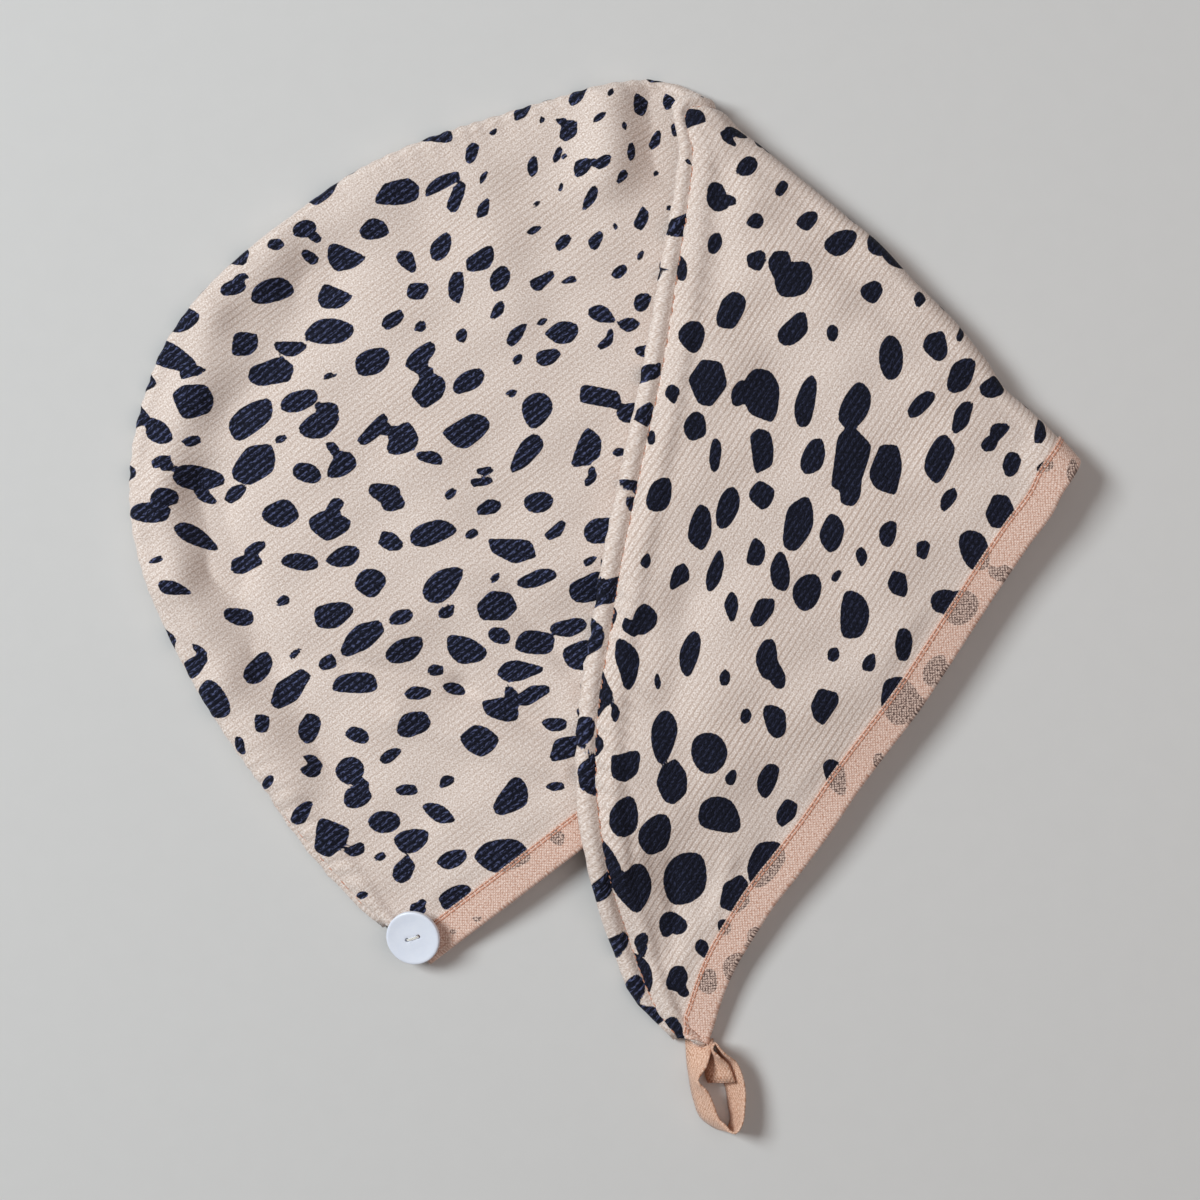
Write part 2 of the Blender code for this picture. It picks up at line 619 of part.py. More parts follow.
def button_and_thread(plastic, thread):
    radius = BUTTON_WIDTH / 2
    half = BUTTON_THICK / 2
    dish = 0.72 * radius
    profile = [
        (0.0, -half),
        (radius - half, -half),
        (radius - 0.25 * half, -0.5 * half),
        (radius, 0.2 * half),
        (radius - 0.3 * half, half),
        (dish + half, half),
        (dish, half - BUTTON_RIM),
        (0.0, half - BUTTON_RIM),
    ]
    bm = bmesh.new()
    turned_disc(bm, profile, 32)
    button = add_object("button", bm, plastic)
    spot = CROWN.out(BUTTON_FROM_NAPE, BUTTON_FROM_HEM)
    lowered = heading(HEM_TURN + BUTTON_TILT_TOWARDS)
    tilt = math.radians(BUTTON_TILT)
    cloth_top = max(crown_stack(spot + heading(a) * SHANK * 2) for a in range(0, 360, 45))
    under = cloth_top + GAP + BUTTON_REACH * math.tan(tilt)
    turn = Matrix.Rotation(tilt, 4, Vector((-lowered.y, lowered.x, 0)))
    height = under + half / math.cos(tilt)
    place = Matrix.Translation((spot.x, spot.y, height)) @ turn
    lined_up = heading(THREAD_TURN)
    spots = []
    for way in (-1, 1):
        offset = lined_up * way * BUTTON_HOLE_SPACING / 2
        spots.append(offset)
        start = Vector((offset.x, offset.y, -2 * half))
        hole = rod("hole", start, Vector((offset.x, offset.y, 2 * half)), BUTTON_HOLE / 2, plastic, 12)
        boolean(button, hole, "DIFFERENCE")
    button.data.transform(place)
    top = half - BUTTON_RIM + GAP + THREAD / 2
    low = -half - GAP - THREAD / 2
    one, other = (Vector((s.x, s.y, 0)) for s in spots)
    lift = Vector((0, 0, 1))
    bottom = lift * (low - 0.3 * THREAD)
    tip = lift * (top + 0.3 * THREAD)
    made = rod("button_thread", one + bottom, one + tip, THREAD / 2, thread)
    for name, start, end in (
        ("leg", other + bottom, other + tip),
        ("upper_stitch", one + lift * top, other + lift * top),
        ("lower_stitch", one + lift * low, other + lift * low),
    ):
        boolean(made, rod(name, start, end, THREAD / 2, thread), "UNION")
    made.data.transform(place)
    head = place @ (lift * low)
    foot = Vector((head.x, head.y, cloth_top + 2 * GAP))
    boolean(made, rod("shank", foot, head, SHANK, thread, 12), "UNION")


def loop_point(down, right):
    """A plan point of the loop's own frame, whose origin is the joint at the tail's tip."""
    along = heading(TAIL_HEADING + LOOP_TURN)
    side = heading(TAIL_HEADING + LOOP_TURN + 90)
    joint = TAIL.out(1.009 * TAIL_HEM, 0.012 * TAIL_WIDTH)
    return joint + along * down + side * right


def tail_loop(finish):
    lower = []
    slants = []
    for down, right, lift, lean_down, lean_right in LOOP_ROWS:
        spot = loop_point(down * LOOP_REACH, right * LOOP_SPREAD)
        lower.append(Vector((spot.x, spot.y, lift * LOOP_TAPE_WIDTH + LOOP_TAPE / 2)))
        lean = math.radians(math.hypot(lean_down, lean_right))
        slant = (loop_point(lean_down, lean_right) - loop_point(0, 0)).normalized() * math.sin(lean)
        slants.append(Vector((slant.x, slant.y, math.cos(lean))))
    points = []
    ways = []
    last = len(lower) - 1
    for k in range(last):
        around = [max(k - 1, 0), k, k + 1, min(k + 2, last)]
        for t in (0.0, 0.5):
            points.append(between(*(lower[i] for i in around), t))
            ways.append(between(*(slants[i] for i in around), t).normalized())
    points.append(lower[-1])
    ways.append(slants[-1])
    sections = []
    for k, (point, way) in enumerate(zip(points, ways)):
        run = points[min(k + 1, len(points) - 1)] - points[max(k - 1, 0)]
        face = run.cross(way).normalized() * LOOP_TAPE / 2
        top = point + way * LOOP_TAPE_WIDTH
        sections.append(([point + face, top + face], [point - face, top - face]))
    return loft("tail_loop", sections, finish)


def centre_on_origin(objects):
    """Moves everything so that the origin lies under the middle of the towel."""
    spots = [v.co for o in objects for v in o.data.vertices]
    low = Vector((min(p.x for p in spots), min(p.y for p in spots), min(p.z for p in spots)))
    high = Vector((max(p.x for p in spots), max(p.y for p in spots), low.z))
    shift = Vector(((low.x + high.x) / -2, (low.y + high.y) / -2, -low.z))
    for made in objects:
        made.data.transform(Matrix.Translation(shift))


def main():
    for old in list(bpy.data.objects):
        bpy.data.objects.remove(old)
    cloth = material("ribbed_microfibre", (0.72, 0.56, 0.42), 0.9)
    tape = material("satin_tape", (0.71, 0.43, 0.28), 0.6)
    webbing = material("twill_loop_tape", (0.70, 0.42, 0.28), 0.75)
    plastic = material("polyester_button", (0.87, 0.88, 0.90), 0.2)
    thread = material("polyester_thread", (0.78, 0.70, 0.60), 0.7)
    stations = crown_stations() + fold_stations() + tail_stations()
    open_seam(stations)
    panel_and_tape(stations, Station.back_runs, 1, "back_panel", "back_hem_tape", cloth, tape)
    panel_and_tape(stations, Station.front_runs, -1, "front_panel", "front_hem_tape", cloth, tape)
    button_and_thread(plastic, thread)
    tail_loop(webbing)
    centre_on_origin([o for o in bpy.data.objects if o.type == "MESH"])


main()
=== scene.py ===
# %% [markdown]
# # A hair turban towel, seen from above
# A turban towel is a flat tube of ribbed microfibre with a long tail. Two panels are sewn together along one
# curved edge. The other edge stays open, so that a head can go in, and a satin tape binds it on each panel.
# Here the towel lies flat and its tail is folded back over the crown. A button at the nape takes the loop at
# the tip.
#
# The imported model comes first. It is the fixed frame that every piece below has to fit.

import math

import bmesh
import bpy
import numpy as np
from mathutils import Matrix, Vector


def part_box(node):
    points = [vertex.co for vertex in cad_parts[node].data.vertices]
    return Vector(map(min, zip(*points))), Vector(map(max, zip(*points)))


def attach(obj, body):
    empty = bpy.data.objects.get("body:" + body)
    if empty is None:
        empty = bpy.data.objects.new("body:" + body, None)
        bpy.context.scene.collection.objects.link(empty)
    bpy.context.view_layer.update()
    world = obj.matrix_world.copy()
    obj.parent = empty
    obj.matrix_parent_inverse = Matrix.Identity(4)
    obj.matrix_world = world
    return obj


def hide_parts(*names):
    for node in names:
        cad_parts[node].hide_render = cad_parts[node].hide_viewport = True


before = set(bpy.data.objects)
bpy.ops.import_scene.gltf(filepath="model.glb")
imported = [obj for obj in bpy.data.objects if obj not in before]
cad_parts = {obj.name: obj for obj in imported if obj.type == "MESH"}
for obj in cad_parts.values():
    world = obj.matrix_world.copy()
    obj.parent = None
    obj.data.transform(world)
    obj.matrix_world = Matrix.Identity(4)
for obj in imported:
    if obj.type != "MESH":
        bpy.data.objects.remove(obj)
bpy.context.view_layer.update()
print("nodes", sorted(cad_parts))

# %% [markdown]
# ## Sizes
# All lengths are in metres. The outline is cut from named sizes, as a maker would cut it: the crown's hem
# and depth, the fold, and the tail's hem and width.

# %% Sizes
CROWN_HEM = 0.3355  # nape to fold, along the opening
CROWN_DEPTH = 0.2844
HEM_TURN = 37.5  # degrees from +X to the crown's hem
FOLD_WIDTH = 0.2388
FOLD_ANGLE = 98.2  # degrees from the crown's hem to the fold
FOLD_BOW = 0.0057
TAIL_HEM = 0.2816
TAIL_WIDTH = 0.2230
TAIL_SWING = 20.0
TAIL_START = 0.0023
CLOTH = 0.0018
TAPE = 0.0005
TAPE_WIDTH = 0.0125
GAP = 0.0003
SEAM_INSET = 0.0068
CROWN_LOFT = 0.0066
FOLD_LOFT = 0.0028
MOUTH_LOFT = 0.0054
RIM_LOFT = 0.0046
ROLL_LOFT = 0.0030
TAIL_LOFT = 0.0054
TAIL_MOUTH_LOFT = 0.0068
REST_CLEAR = 0.0006
TABLE_CLEAR = 0.0002
DROP_RUN = 0.045
BINDING = TAPE + GAP
HEM_STACK = 2 * CLOTH + 4 * BINDING + GAP
RIM = CLOTH + RIM_LOFT / 2
ROLL = CLOTH + ROLL_LOFT / 2
FOLD_RADIUS = HEM_STACK + 0.0026
FOLD_GIRTH = math.pi * (FOLD_RADIUS - CLOTH / 2)  # the cloth that goes round the fold
HEM_BAND = TAPE_WIDTH + 0.0012
RIB_DRIFT = 0.056  # the cloth is a little askew on the tail, so its ribs lie along the tail's hem
LEVEL_RUN = 0.030
FINE_STEP = 0.0013  # between the rows of the mesh where the cloth is seen
COARSE_STEP = 0.0042  # and where it lies on the table or under the tail

# %% [markdown]
# ## The cut of the towel
# A station is a line across the towel, from the sewn edge to the hem. The tables hold one row for each, as
# shares of the named sizes, from the nape over the crown, round the fold and down the tail to the tip.

# %% Crown stations
CROWN_STATIONS = [
    # hem, seam along, seam deep, square, rim, seam line
    (0.000, -0.018, 0.085, 0.5, 0.55, -0.50),
    (0.020, -0.027, 0.130, 0.5, 0.65, -0.50),
    (0.044, -0.032, 0.180, 0.8, 0.75, -0.50),
    (0.071, -0.035, 0.240, 1.0, 0.85, -0.45),
    (0.101, -0.036, 0.305, 1.0, 0.95, -0.25),
    (0.134, -0.033, 0.380, 1.0, 1.00, 0.10),
    (0.170, -0.027, 0.461, 1.0, 1.00, 0.50),
    (0.209, -0.018, 0.545, 1.0, 1.00, 0.85),
    (0.253, -0.004, 0.636, 1.0, 1.00, 1.00),
    (0.304, 0.019, 0.731, 1.0, 1.00, 1.00),
    (0.361, 0.057, 0.814, 1.0, 1.00, 1.00),
    (0.423, 0.119, 0.893, 1.0, 1.00, 1.00),
    (0.489, 0.209, 0.963, 1.0, 1.00, 1.00),
    (0.557, 0.313, 0.995, 1.0, 1.00, 1.00),
    (0.626, 0.426, 1.000, 1.0, 1.00, 1.00),
    (0.692, 0.531, 0.995, 1.0, 1.00, 1.00),
    (0.754, 0.626, 0.969, 1.0, 0.95, 1.00),
    (0.815, 0.712, 0.934, 0.9, 0.85, 1.00),
    (0.877, 0.787, 0.900, 0.6, 0.75, 1.00),
    (0.939, 0.852, 0.867, 0.3, 0.68, 1.00),
]
print("crown stations", len(CROWN_STATIONS))

# %% Fold and tail stations
FOLD_STATIONS = [
    # share of half a turn, where the seam edge starts
    (0.0000, 1.0000),
    (0.1667, 0.9700),
    (0.3333, 0.9330),
    (0.5000, 0.9130),
    (0.6667, 0.9180),
    (0.8333, 0.9330),
    (1.0000, 0.9456),
]
TAIL_STATIONS = [
    # hem along, hem in, seam along, seam in, square, middle, mouth
    (0.050, -0.002, -0.110, 0.952, 0.2, 0.75, 0.30),
    (0.114, 0.002, -0.039, 0.908, 0.4, 0.85, 0.55),
    (0.185, 0.004, 0.043, 0.863, 0.6, 0.95, 0.80),
    (0.259, 0.005, 0.128, 0.816, 0.8, 1.00, 1.00),
    (0.334, 0.006, 0.213, 0.771, 0.8, 1.00, 1.10),
    (0.408, 0.008, 0.298, 0.732, 0.8, 1.00, 1.15),
    (0.483, 0.016, 0.384, 0.691, 0.8, 1.00, 1.15),
    (0.558, 0.023, 0.469, 0.650, 0.8, 1.00, 1.10),
    (0.632, 0.025, 0.558, 0.601, 0.8, 1.00, 1.00),
    (0.703, 0.031, 0.639, 0.558, 0.8, 0.95, 0.85),
    (0.771, 0.039, 0.717, 0.507, 0.9, 0.85, 0.70),
    (0.827, 0.039, 0.788, 0.448, 1.0, 0.70, 0.55),
    (0.874, 0.037, 0.852, 0.379, 1.0, 0.55, 0.40),
    (0.913, 0.030, 0.906, 0.307, 1.0, 0.45, 0.30),
    (0.945, 0.020, 0.952, 0.235, 1.0, 0.35, 0.20),
    (0.969, 0.011, 0.985, 0.179, 1.0, 0.25, 0.10),
    (0.991, 0.004, 1.007, 0.112, 1.0, 0.15, 0.05),
    (1.000, 0.000, 1.017, 0.058, 0.6, 0.10, 0.00),
]
print("fold and tail stations", len(FOLD_STATIONS), len(TAIL_STATIONS))

# %% [markdown]
# The broad folds are ridges and dents along short lines. They rise or sink by a share of the towel's loft.

# %% Broad folds
CROWN_FOLDS = [
    # x0, y0, x1, y1, half width, rise
    (0.02, 0.20, 0.12, 0.60, 0.055, -0.30),
    (0.12, 0.60, 0.40, 0.76, 0.060, -0.26),
    (0.40, 0.76, 0.68, 0.72, 0.060, -0.22),
    (0.28, 0.28, 0.52, 0.12, 0.050, -0.34),
    (0.20, 0.40, 0.50, 0.27, 0.055, 0.22),
    (0.36, 0.52, 0.62, 0.42, 0.060, 0.20),
    (0.10, 0.10, 0.20, 0.05, 0.040, -0.22),
    (0.86, 0.60, 0.74, 0.67, 0.045, -0.42),
]
TAIL_FOLDS = [
    (0.18, 0.50, 0.40, 0.10, 0.060, -0.34),
    (0.46, 0.40, 0.62, 0.28, 0.055, -0.30),
    (0.60, 0.46, 0.80, 0.26, 0.050, -0.30),
    (0.10, 0.30, 0.22, 0.06, 0.050, 0.30),
    (0.36, 0.52, 0.52, 0.46, 0.045, 0.24),
    (0.56, 0.22, 0.74, 0.14, 0.050, 0.30),
]
print("broad folds", len(CROWN_FOLDS), len(TAIL_FOLDS))

# %% [markdown]
# ## Plan frames
# The crown and the tail each have a frame of their own in plan, with x along the hem and y into the cloth. A
# frame turns its numbers into places on the table, and places back into numbers, for a whole array at once.

# %% Smooth steps
def smooth(share):
    share = np.clip(share, 0.0, 1.0)
    return share * share * (3 - 2 * share)


def mix(a, b, share):
    return a + (b - a) * share


# %% Directions and distances
def unit(way):
    return way / np.linalg.norm(way, axis=-1, keepdims=True)


def heading(degrees):
    return np.array([math.cos(math.radians(degrees)), math.sin(math.radians(degrees))])


def hump(away, reach):
    """1 in the middle, and falling off smoothly over this reach."""
    return np.exp(-((away / reach) ** 2))


def lengths_along(path):
    """How far along a path each of its points is."""
    return np.concatenate([[0.0], np.cumsum(np.linalg.norm(np.diff(path, axis=0), axis=1))])


# %% Frames of the crown, the fold and the tail
class Frame:
    def __init__(self, origin, along, across):
        self.origin = origin
        self.axes = np.array([along, across])
        self.across = across

    def out(self, x, y):
        return np.stack([x, y], -1) @ self.axes + self.origin

    def back(self, points):
        return (points - self.origin) @ self.axes.T


CROWN = Frame(np.zeros(2), heading(HEM_TURN), heading(HEM_TURN + 90))
FOLD = Frame(CROWN.out(CROWN_HEM, 0), heading(HEM_TURN + FOLD_ANGLE), heading(HEM_TURN + FOLD_ANGLE - 90))
TAIL_HEADING = HEM_TURN + 180 + TAIL_SWING
TAIL = Frame(FOLD.out(-TAIL_START, 0), heading(TAIL_HEADING), heading(TAIL_HEADING - 90))


def unfolded(plan):
    """Where places on the tail would lie, in the crown's frame, if the tail weren't folded over."""
    along, across = FOLD.back(plan).T
    flat = CROWN.back(FOLD.out(along, FOLD_GIRTH - across + 2 * fold_bow(along)))
    flat[..., 1] -= RIB_DRIFT * across
    return flat


# %% [markdown]
# ## How thick the towel lies
# Between its two panels the towel holds a little air. These functions say how thick it lies at any place,
# and a table of soft ridges and dents adds the folds.

# %% Thickness
CROWN_FILLS = 0.5 * CROWN_HEM  # how far from the fold the crown comes to its full height
MOUTH_OPENS = 0.16 * CROWN_HEM  # how far from the nape its hem does
BOW_STARTS = 0.09  # the lower end of the fold's bow, and its run, as shares of the fold
BOW_RUN = 0.80


def segment_distance(points, start, end):
    run = end - start
    share = np.clip((points - start) @ run / (run @ run), 0.0, 1.0)
    return np.linalg.norm(points - start - share[..., None] * run, axis=-1)


def folds(table, points, length):
    """The sum of a table's ridges and dents, as shares, at points in the same frame as the table."""
    rise = np.zeros(points.shape[:-1])
    for x0, y0, x1, y1, half_width, share in table:
        away = segment_distance(points, np.array([x0, y0]) * length, np.array([x1, y1]) * length)
        rise += share * hump(away, half_width * length)
    return rise


def crown_stack(plan):
    spots = CROWN.back(plan)
    share = smooth(-FOLD.back(plan)[..., 1] / CROWN_FILLS)
    loft = mix(FOLD_LOFT, CROWN_LOFT, share) + share * CROWN_LOFT * folds(CROWN_FOLDS, spots, CROWN_HEM)
    mouth = smooth(spots[..., 0] / MOUTH_OPENS) * share
    at_hem = HEM_STACK + MOUTH_LOFT * mouth
    return mix(at_hem, 2 * CLOTH + loft, smooth((spots[..., 1] - TAPE_WIDTH) / (2 * LEVEL_RUN)))


def fold_stack(plan):
    from_hem = FOLD.back(plan)[..., 0]
    return mix(HEM_STACK, 2 * CLOTH + FOLD_LOFT, smooth((from_hem - TAPE_WIDTH) / LEVEL_RUN))


def drop(plan):
    """How far the tail has come down to the table, from 0 over the crown to 1."""
    return smooth((-CROWN.back(plan)[..., 1] - TAPE_WIDTH / 2) / DROP_RUN)


def crown_cover(plan):
    spots = CROWN.back(plan)
    under = crown_stack(CROWN.out(spots[..., 0], np.maximum(spots[..., 1], 0.0)))
    return mix(under + REST_CLEAR, TABLE_CLEAR, drop(plan))


def fold_bow(along):
    """How far the fold bows outwards at this distance from its hem."""
    share = np.clip((along / FOLD_WIDTH - BOW_STARTS) / BOW_RUN, 0.0, 1.0)
    return FOLD_BOW * np.sin(np.pi * share) ** 2


# %% [markdown]
# ## Walls
# Each station is a section through the towel: along the table from the back hem, round the sewn edge and
# back over the top to the front hem. A run is a distance along that section. Reading it at many runs gives a
# row of points in the middle of the cloth's wall.

# %% Station
class Station:
    def __init__(self, line, rim, seam_line, stack, place, lie_flat, part):
        self.line = line
        self.lengths = lengths_along(line)
        self.width = self.lengths[-1] - BINDING
        self.rim = rim
        self.stack = stack
        self.place = place
        self.lie_flat = lie_flat
        self.part = part
        self.flat = self.width - rim
        self.half_turn = math.pi * (rim - CLOTH / 2)
        self.total = 2 * self.flat + self.half_turn
        self.cut = self.flat + self.half_turn / 2 - seam_line * SEAM_INSET
        self.tape_width = min(TAPE_WIDTH, 0.8 * self.flat)
        self.band = self.tape_width + HEM_BAND - TAPE_WIDTH

    def plan(self, inward):
        """Points this far from the sewn edge. The line goes on straight beyond it."""
        x, y = (np.interp(inward, self.lengths, self.line[:, k]) for k in (0, 1))
        beyond = np.minimum(inward, 0.0)[:, None] * (self.line[1] - self.line[0]) / self.lengths[1]
        return np.stack([x, y], -1) + beyond

    def points(self, runs):
        """x, y, z, the place on the flat cloth, and the distances from the hem and from the seam."""
        from_hem = np.minimum(runs, self.total - runs)
        bound = BINDING * (1 - smooth((from_hem - self.band) / (LEVEL_RUN / 3)))
        turn = np.pi * np.clip((runs - self.flat) / self.half_turn, 0.0, 1.0)
        curl = self.rim - CLOTH / 2
        below = runs <= self.flat
        turning = ~below & (runs <= self.flat + self.half_turn)
        inward = np.where(below, self.width - runs, runs - self.flat - self.half_turn + self.rim)
        inward = np.where(turning, self.rim - curl * np.sin(turn), inward)
        plan = self.plan(inward)
        level = smooth((inward - self.rim) / LEVEL_RUN)
        thickness = mix(2 * self.rim, self.stack(plan), level)
        height = np.where(below, bound + CLOTH / 2, thickness - bound - CLOTH / 2)
        height = np.where(turning, self.rim - curl * np.cos(turn), height)
        unrolled = self.lie_flat(self.plan(self.width - from_hem))
        extra = np.stack([from_hem, np.abs(runs - self.cut), np.full(len(runs), self.part)], -1)
        return np.concatenate([self.place(plan, height, thickness), unrolled, extra], -1)


Z, FLAT_X, FLAT_Y, FROM_HEM, FROM_SEAM, PART = range(2, 8)  # the channels after x and y


# %% [markdown]
# The rows of the tables become stations. A smooth line leaves the sewn edge squarely, and comes in to the
# hem.

# %% Smooth lines
def arched(start, end, start_way, end_way, count=40):
    """Points on a curve from start to end that sets off along start_way and comes in against end_way."""
    reach = np.linalg.norm(end - start) / 3
    near = start + start_way * reach
    far = end + end_way * reach
    t = np.linspace(0, 1, count + 1)[:, None]
    return start * (1 - t) ** 3 + near * 3 * t * (1 - t) ** 2 + far * 3 * t * t * (1 - t) + end * t**3


def filled_in(rows, first, last):
    """The rows, with one more on a smooth curve halfway between each two from the first to the last."""
    filled = rows[: first + 1]
    for k in range(first, last):
        before, start, end, after = np.array(rows[k - 1 : k + 3])
        filled = [*filled, (9 * (start + end) - before - after) / 16, rows[k + 1]]
    return filled + rows[last + 1 :]


# %% The line of a station
def station_line(seam, k, end, side, square, across):
    """The line of station k, from its seam point to its hem point."""
    run = unit(seam[k + 1] - seam[max(k - 1, 0)])
    straight = unit(end - seam[k])
    start_way = unit(mix(straight, side * np.array([run[1], -run[0]]), square))
    return arched(seam[k], end, start_way, unit(mix(-straight, across, square)))


def bowed(line, share):
    return line + share * fold_bow(FOLD.back(line)[:, 0])[:, None] * FOLD.across


# %% Stations of the crown
NAPE_ROWS = 5  # the rows in which the rim grows from the height of the hem
CURVED_ROWS = (6, 17)  # the rows between which the crown's edge is most curved


def crown_stations():
    rows = filled_in(CROWN_STATIONS, *CURVED_ROWS)
    seam = [CROWN.out(row[1] * CROWN_HEM, row[2] * CROWN_DEPTH) for row in rows] + [FOLD.out(FOLD_WIDTH, 0)]
    stations = []
    for k, (hem, _, _, square, rim, seam_line) in enumerate(rows):
        line = station_line(seam, k, CROWN.out(hem * CROWN_HEM, 0), 1, square, CROWN.across)
        line = bowed(line, smooth((k - len(rows) + 3) / 3))
        radius = mix(HEM_STACK / 2, RIM, rim) if k < NAPE_ROWS else CLOTH + RIM_LOFT * rim / 2
        place = lambda plan, height, thickness: np.column_stack([plan, height])
        stations.append(Station(line, radius, seam_line, crown_stack, place, CROWN.back, 0))
    return stations


# %% Stations of the fold
def fold_stations():
    stations = []
    for share, start in FOLD_STATIONS:
        turn = math.pi * share
        along = np.linspace(FOLD_WIDTH * start, 0, 41)

        def place(plan, height, thickness, turn=turn):
            radius = FOLD_RADIUS - height
            there = plan + radius[:, None] * math.sin(turn) * FOLD.across
            return np.column_stack([there, FOLD_RADIUS - radius * math.cos(turn)])

        lie_flat = lambda plan, share=share: CROWN.back(plan + FOLD.across * FOLD_GIRTH * share)
        line = FOLD.out(along, fold_bow(along))
        stations.append(Station(line, ROLL, 1.0, fold_stack, place, lie_flat, share))
    return stations


# %% Stations of the tail
SLIM_FROM = 11  # the row from which the roll gets slimmer
TIP_FROM = 14.5  # and the one from which the seam turns to the roll's side


def tail_stations():
    seam = [TAIL.out(row[2] * TAIL_HEM, row[3] * TAIL_WIDTH) for row in TAIL_STATIONS]
    # The last point stands before the first: it is where the seam leaves the fold.
    seam = [*seam, seam[-1], FOLD.out(FOLD_WIDTH * FOLD_STATIONS[-1][1], 0)]
    stations = []
    for k, (hem, hem_in, _, _, square, middle, mouth) in enumerate(TAIL_STATIONS):
        around = [seam[k - 1], seam[k], seam[min(k + 1, len(TAIL_STATIONS) - 1)]]
        end = TAIL.out(hem * TAIL_HEM, hem_in * TAIL_WIDTH)
        line = bowed(station_line(around, 1, end, -1, square, TAIL.across), 1 - smooth((k + 1) / 3))

        def stack(plan, line=line, middle=middle, mouth=mouth):
            from_fold = smooth(-FOLD.back(plan)[..., 1] / (0.2 * TAIL_HEM))
            ridges = folds(TAIL_FOLDS, TAIL.back(plan), TAIL_HEM)
            loft = middle * TAIL_LOFT * (1 + from_fold * ridges)
            from_hem = np.linalg.norm(plan - line[-1], axis=-1)
            level = smooth((from_hem - BINDING - TAPE_WIDTH) / (2 * LEVEL_RUN))
            return mix(HEM_STACK, 2 * CLOTH + loft, level) + mouth * TAIL_MOUTH_LOFT * drop(plan)

        def place(plan, height, thickness):
            from_fold = smooth(-FOLD.back(plan)[..., 1] / (0.25 * TAIL_HEM))
            top = mix(2 * FOLD_RADIUS, crown_cover(plan) + thickness, from_fold)
            return np.column_stack([plan, top - height])

        radius = mix(ROLL, HEM_STACK / 2, smooth((k - SLIM_FROM) / 4))
        seam_line = mix(1.0, 0.25, smooth((k - TIP_FROM) / 2.5))
        stations.append(Station(line, radius, seam_line, stack, place, unfolded, 1))
    return stations


STATIONS = crown_stations() + fold_stations() + tail_stations()
print("sections", len(STATIONS))

# %% [markdown]
# The sections are 10 to 20 mm apart, which is too coarse for the looks. `resampled` runs a smooth curve
# along the towel through each run of the sections, and reads it every 1.3 mm where the panel is seen.

# %% Fine rows
TAPE_COLUMNS = 8
PANEL_COLUMNS = 130
EDGE_COLUMNS = 30
EDGE_RUN = 0.026


def hem_to_seam(station, back):
    """Runs of one panel, from its hem to the seam, closer together under the tape and at the sewn edge."""
    start = 0.0 if back else station.total
    end = station.cut - GAP / 2 if back else station.cut + GAP / 2
    way = 1 if back else -1
    length = abs(end - start)
    last = min(EDGE_RUN, 0.6 * (length - station.band))
    pieces = [
        np.linspace(0, station.tape_width, TAPE_COLUMNS + 1)[:-1],
        np.linspace(station.tape_width, length - last, PANEL_COLUMNS + 1)[:-1],
        np.linspace(length - last, length, EDGE_COLUMNS + 1),
    ]
    return start + way * np.concatenate(pieces)


# %% Rows between the sections
def gaps_in(rows):
    return np.linalg.norm(np.diff(rows[..., :3], axis=0), axis=-1, keepdims=True) + 1e-6


def steps_between(rows, back):
    """How many steps each gap between rows needs: an even number, and fewer where the panel is hidden."""
    counts = []
    for gap, part in zip(gaps_in(rows), rows[1:, 0, PART]):
        seen = part > 0 if back else part == 0
        counts.append(max(2 * round(float(gap.mean()) / (FINE_STEP if seen else COARSE_STEP) / 2), 2))
    return counts


def resampled(rows, counts):
    """Rows of the same channels on smooth curves through the given rows, so many steps to each gap."""
    gaps = gaps_in(rows)
    slopes = np.diff(rows, axis=0) / gaps
    inner = (slopes[:-1] * gaps[1:] + slopes[1:] * gaps[:-1]) / (gaps[:-1] + gaps[1:])
    slopes = np.concatenate([slopes[:1], inner, slopes[-1:]])
    fine = []
    for k, count in enumerate(counts):
        for t in np.arange(count) / count:
            start = rows[k] * (1 + 2 * t) + slopes[k] * gaps[k] * t
            end = rows[k + 1] * (3 - 2 * t) - slopes[k + 1] * gaps[k] * (1 - t)
            fine.append(start * (1 - t) ** 2 + end * t * t)
    return np.array([*fine, rows[-1]])


# %% The two walls
def wall_of(back):
    sections = np.array([station.points(hem_to_seam(station, back)) for station in STATIONS])
    return resampled(sections, steps_between(sections, back))


back_wall = wall_of(True)
front_wall = wall_of(False)
print("rows and columns", back_wall.shape[:2], front_wall.shape[:2])

# %% [markdown]
# ## Folds and the sewn edge
# The real towel shows soft folds where it settled, pleats where the seam draws the cloth in, and a groove
# along the seam with a plump roll beside it. They are added to the walls as small lifts, in the frame of the
# crown or the tail, and they fade out before the hem so that the tape stays straight.

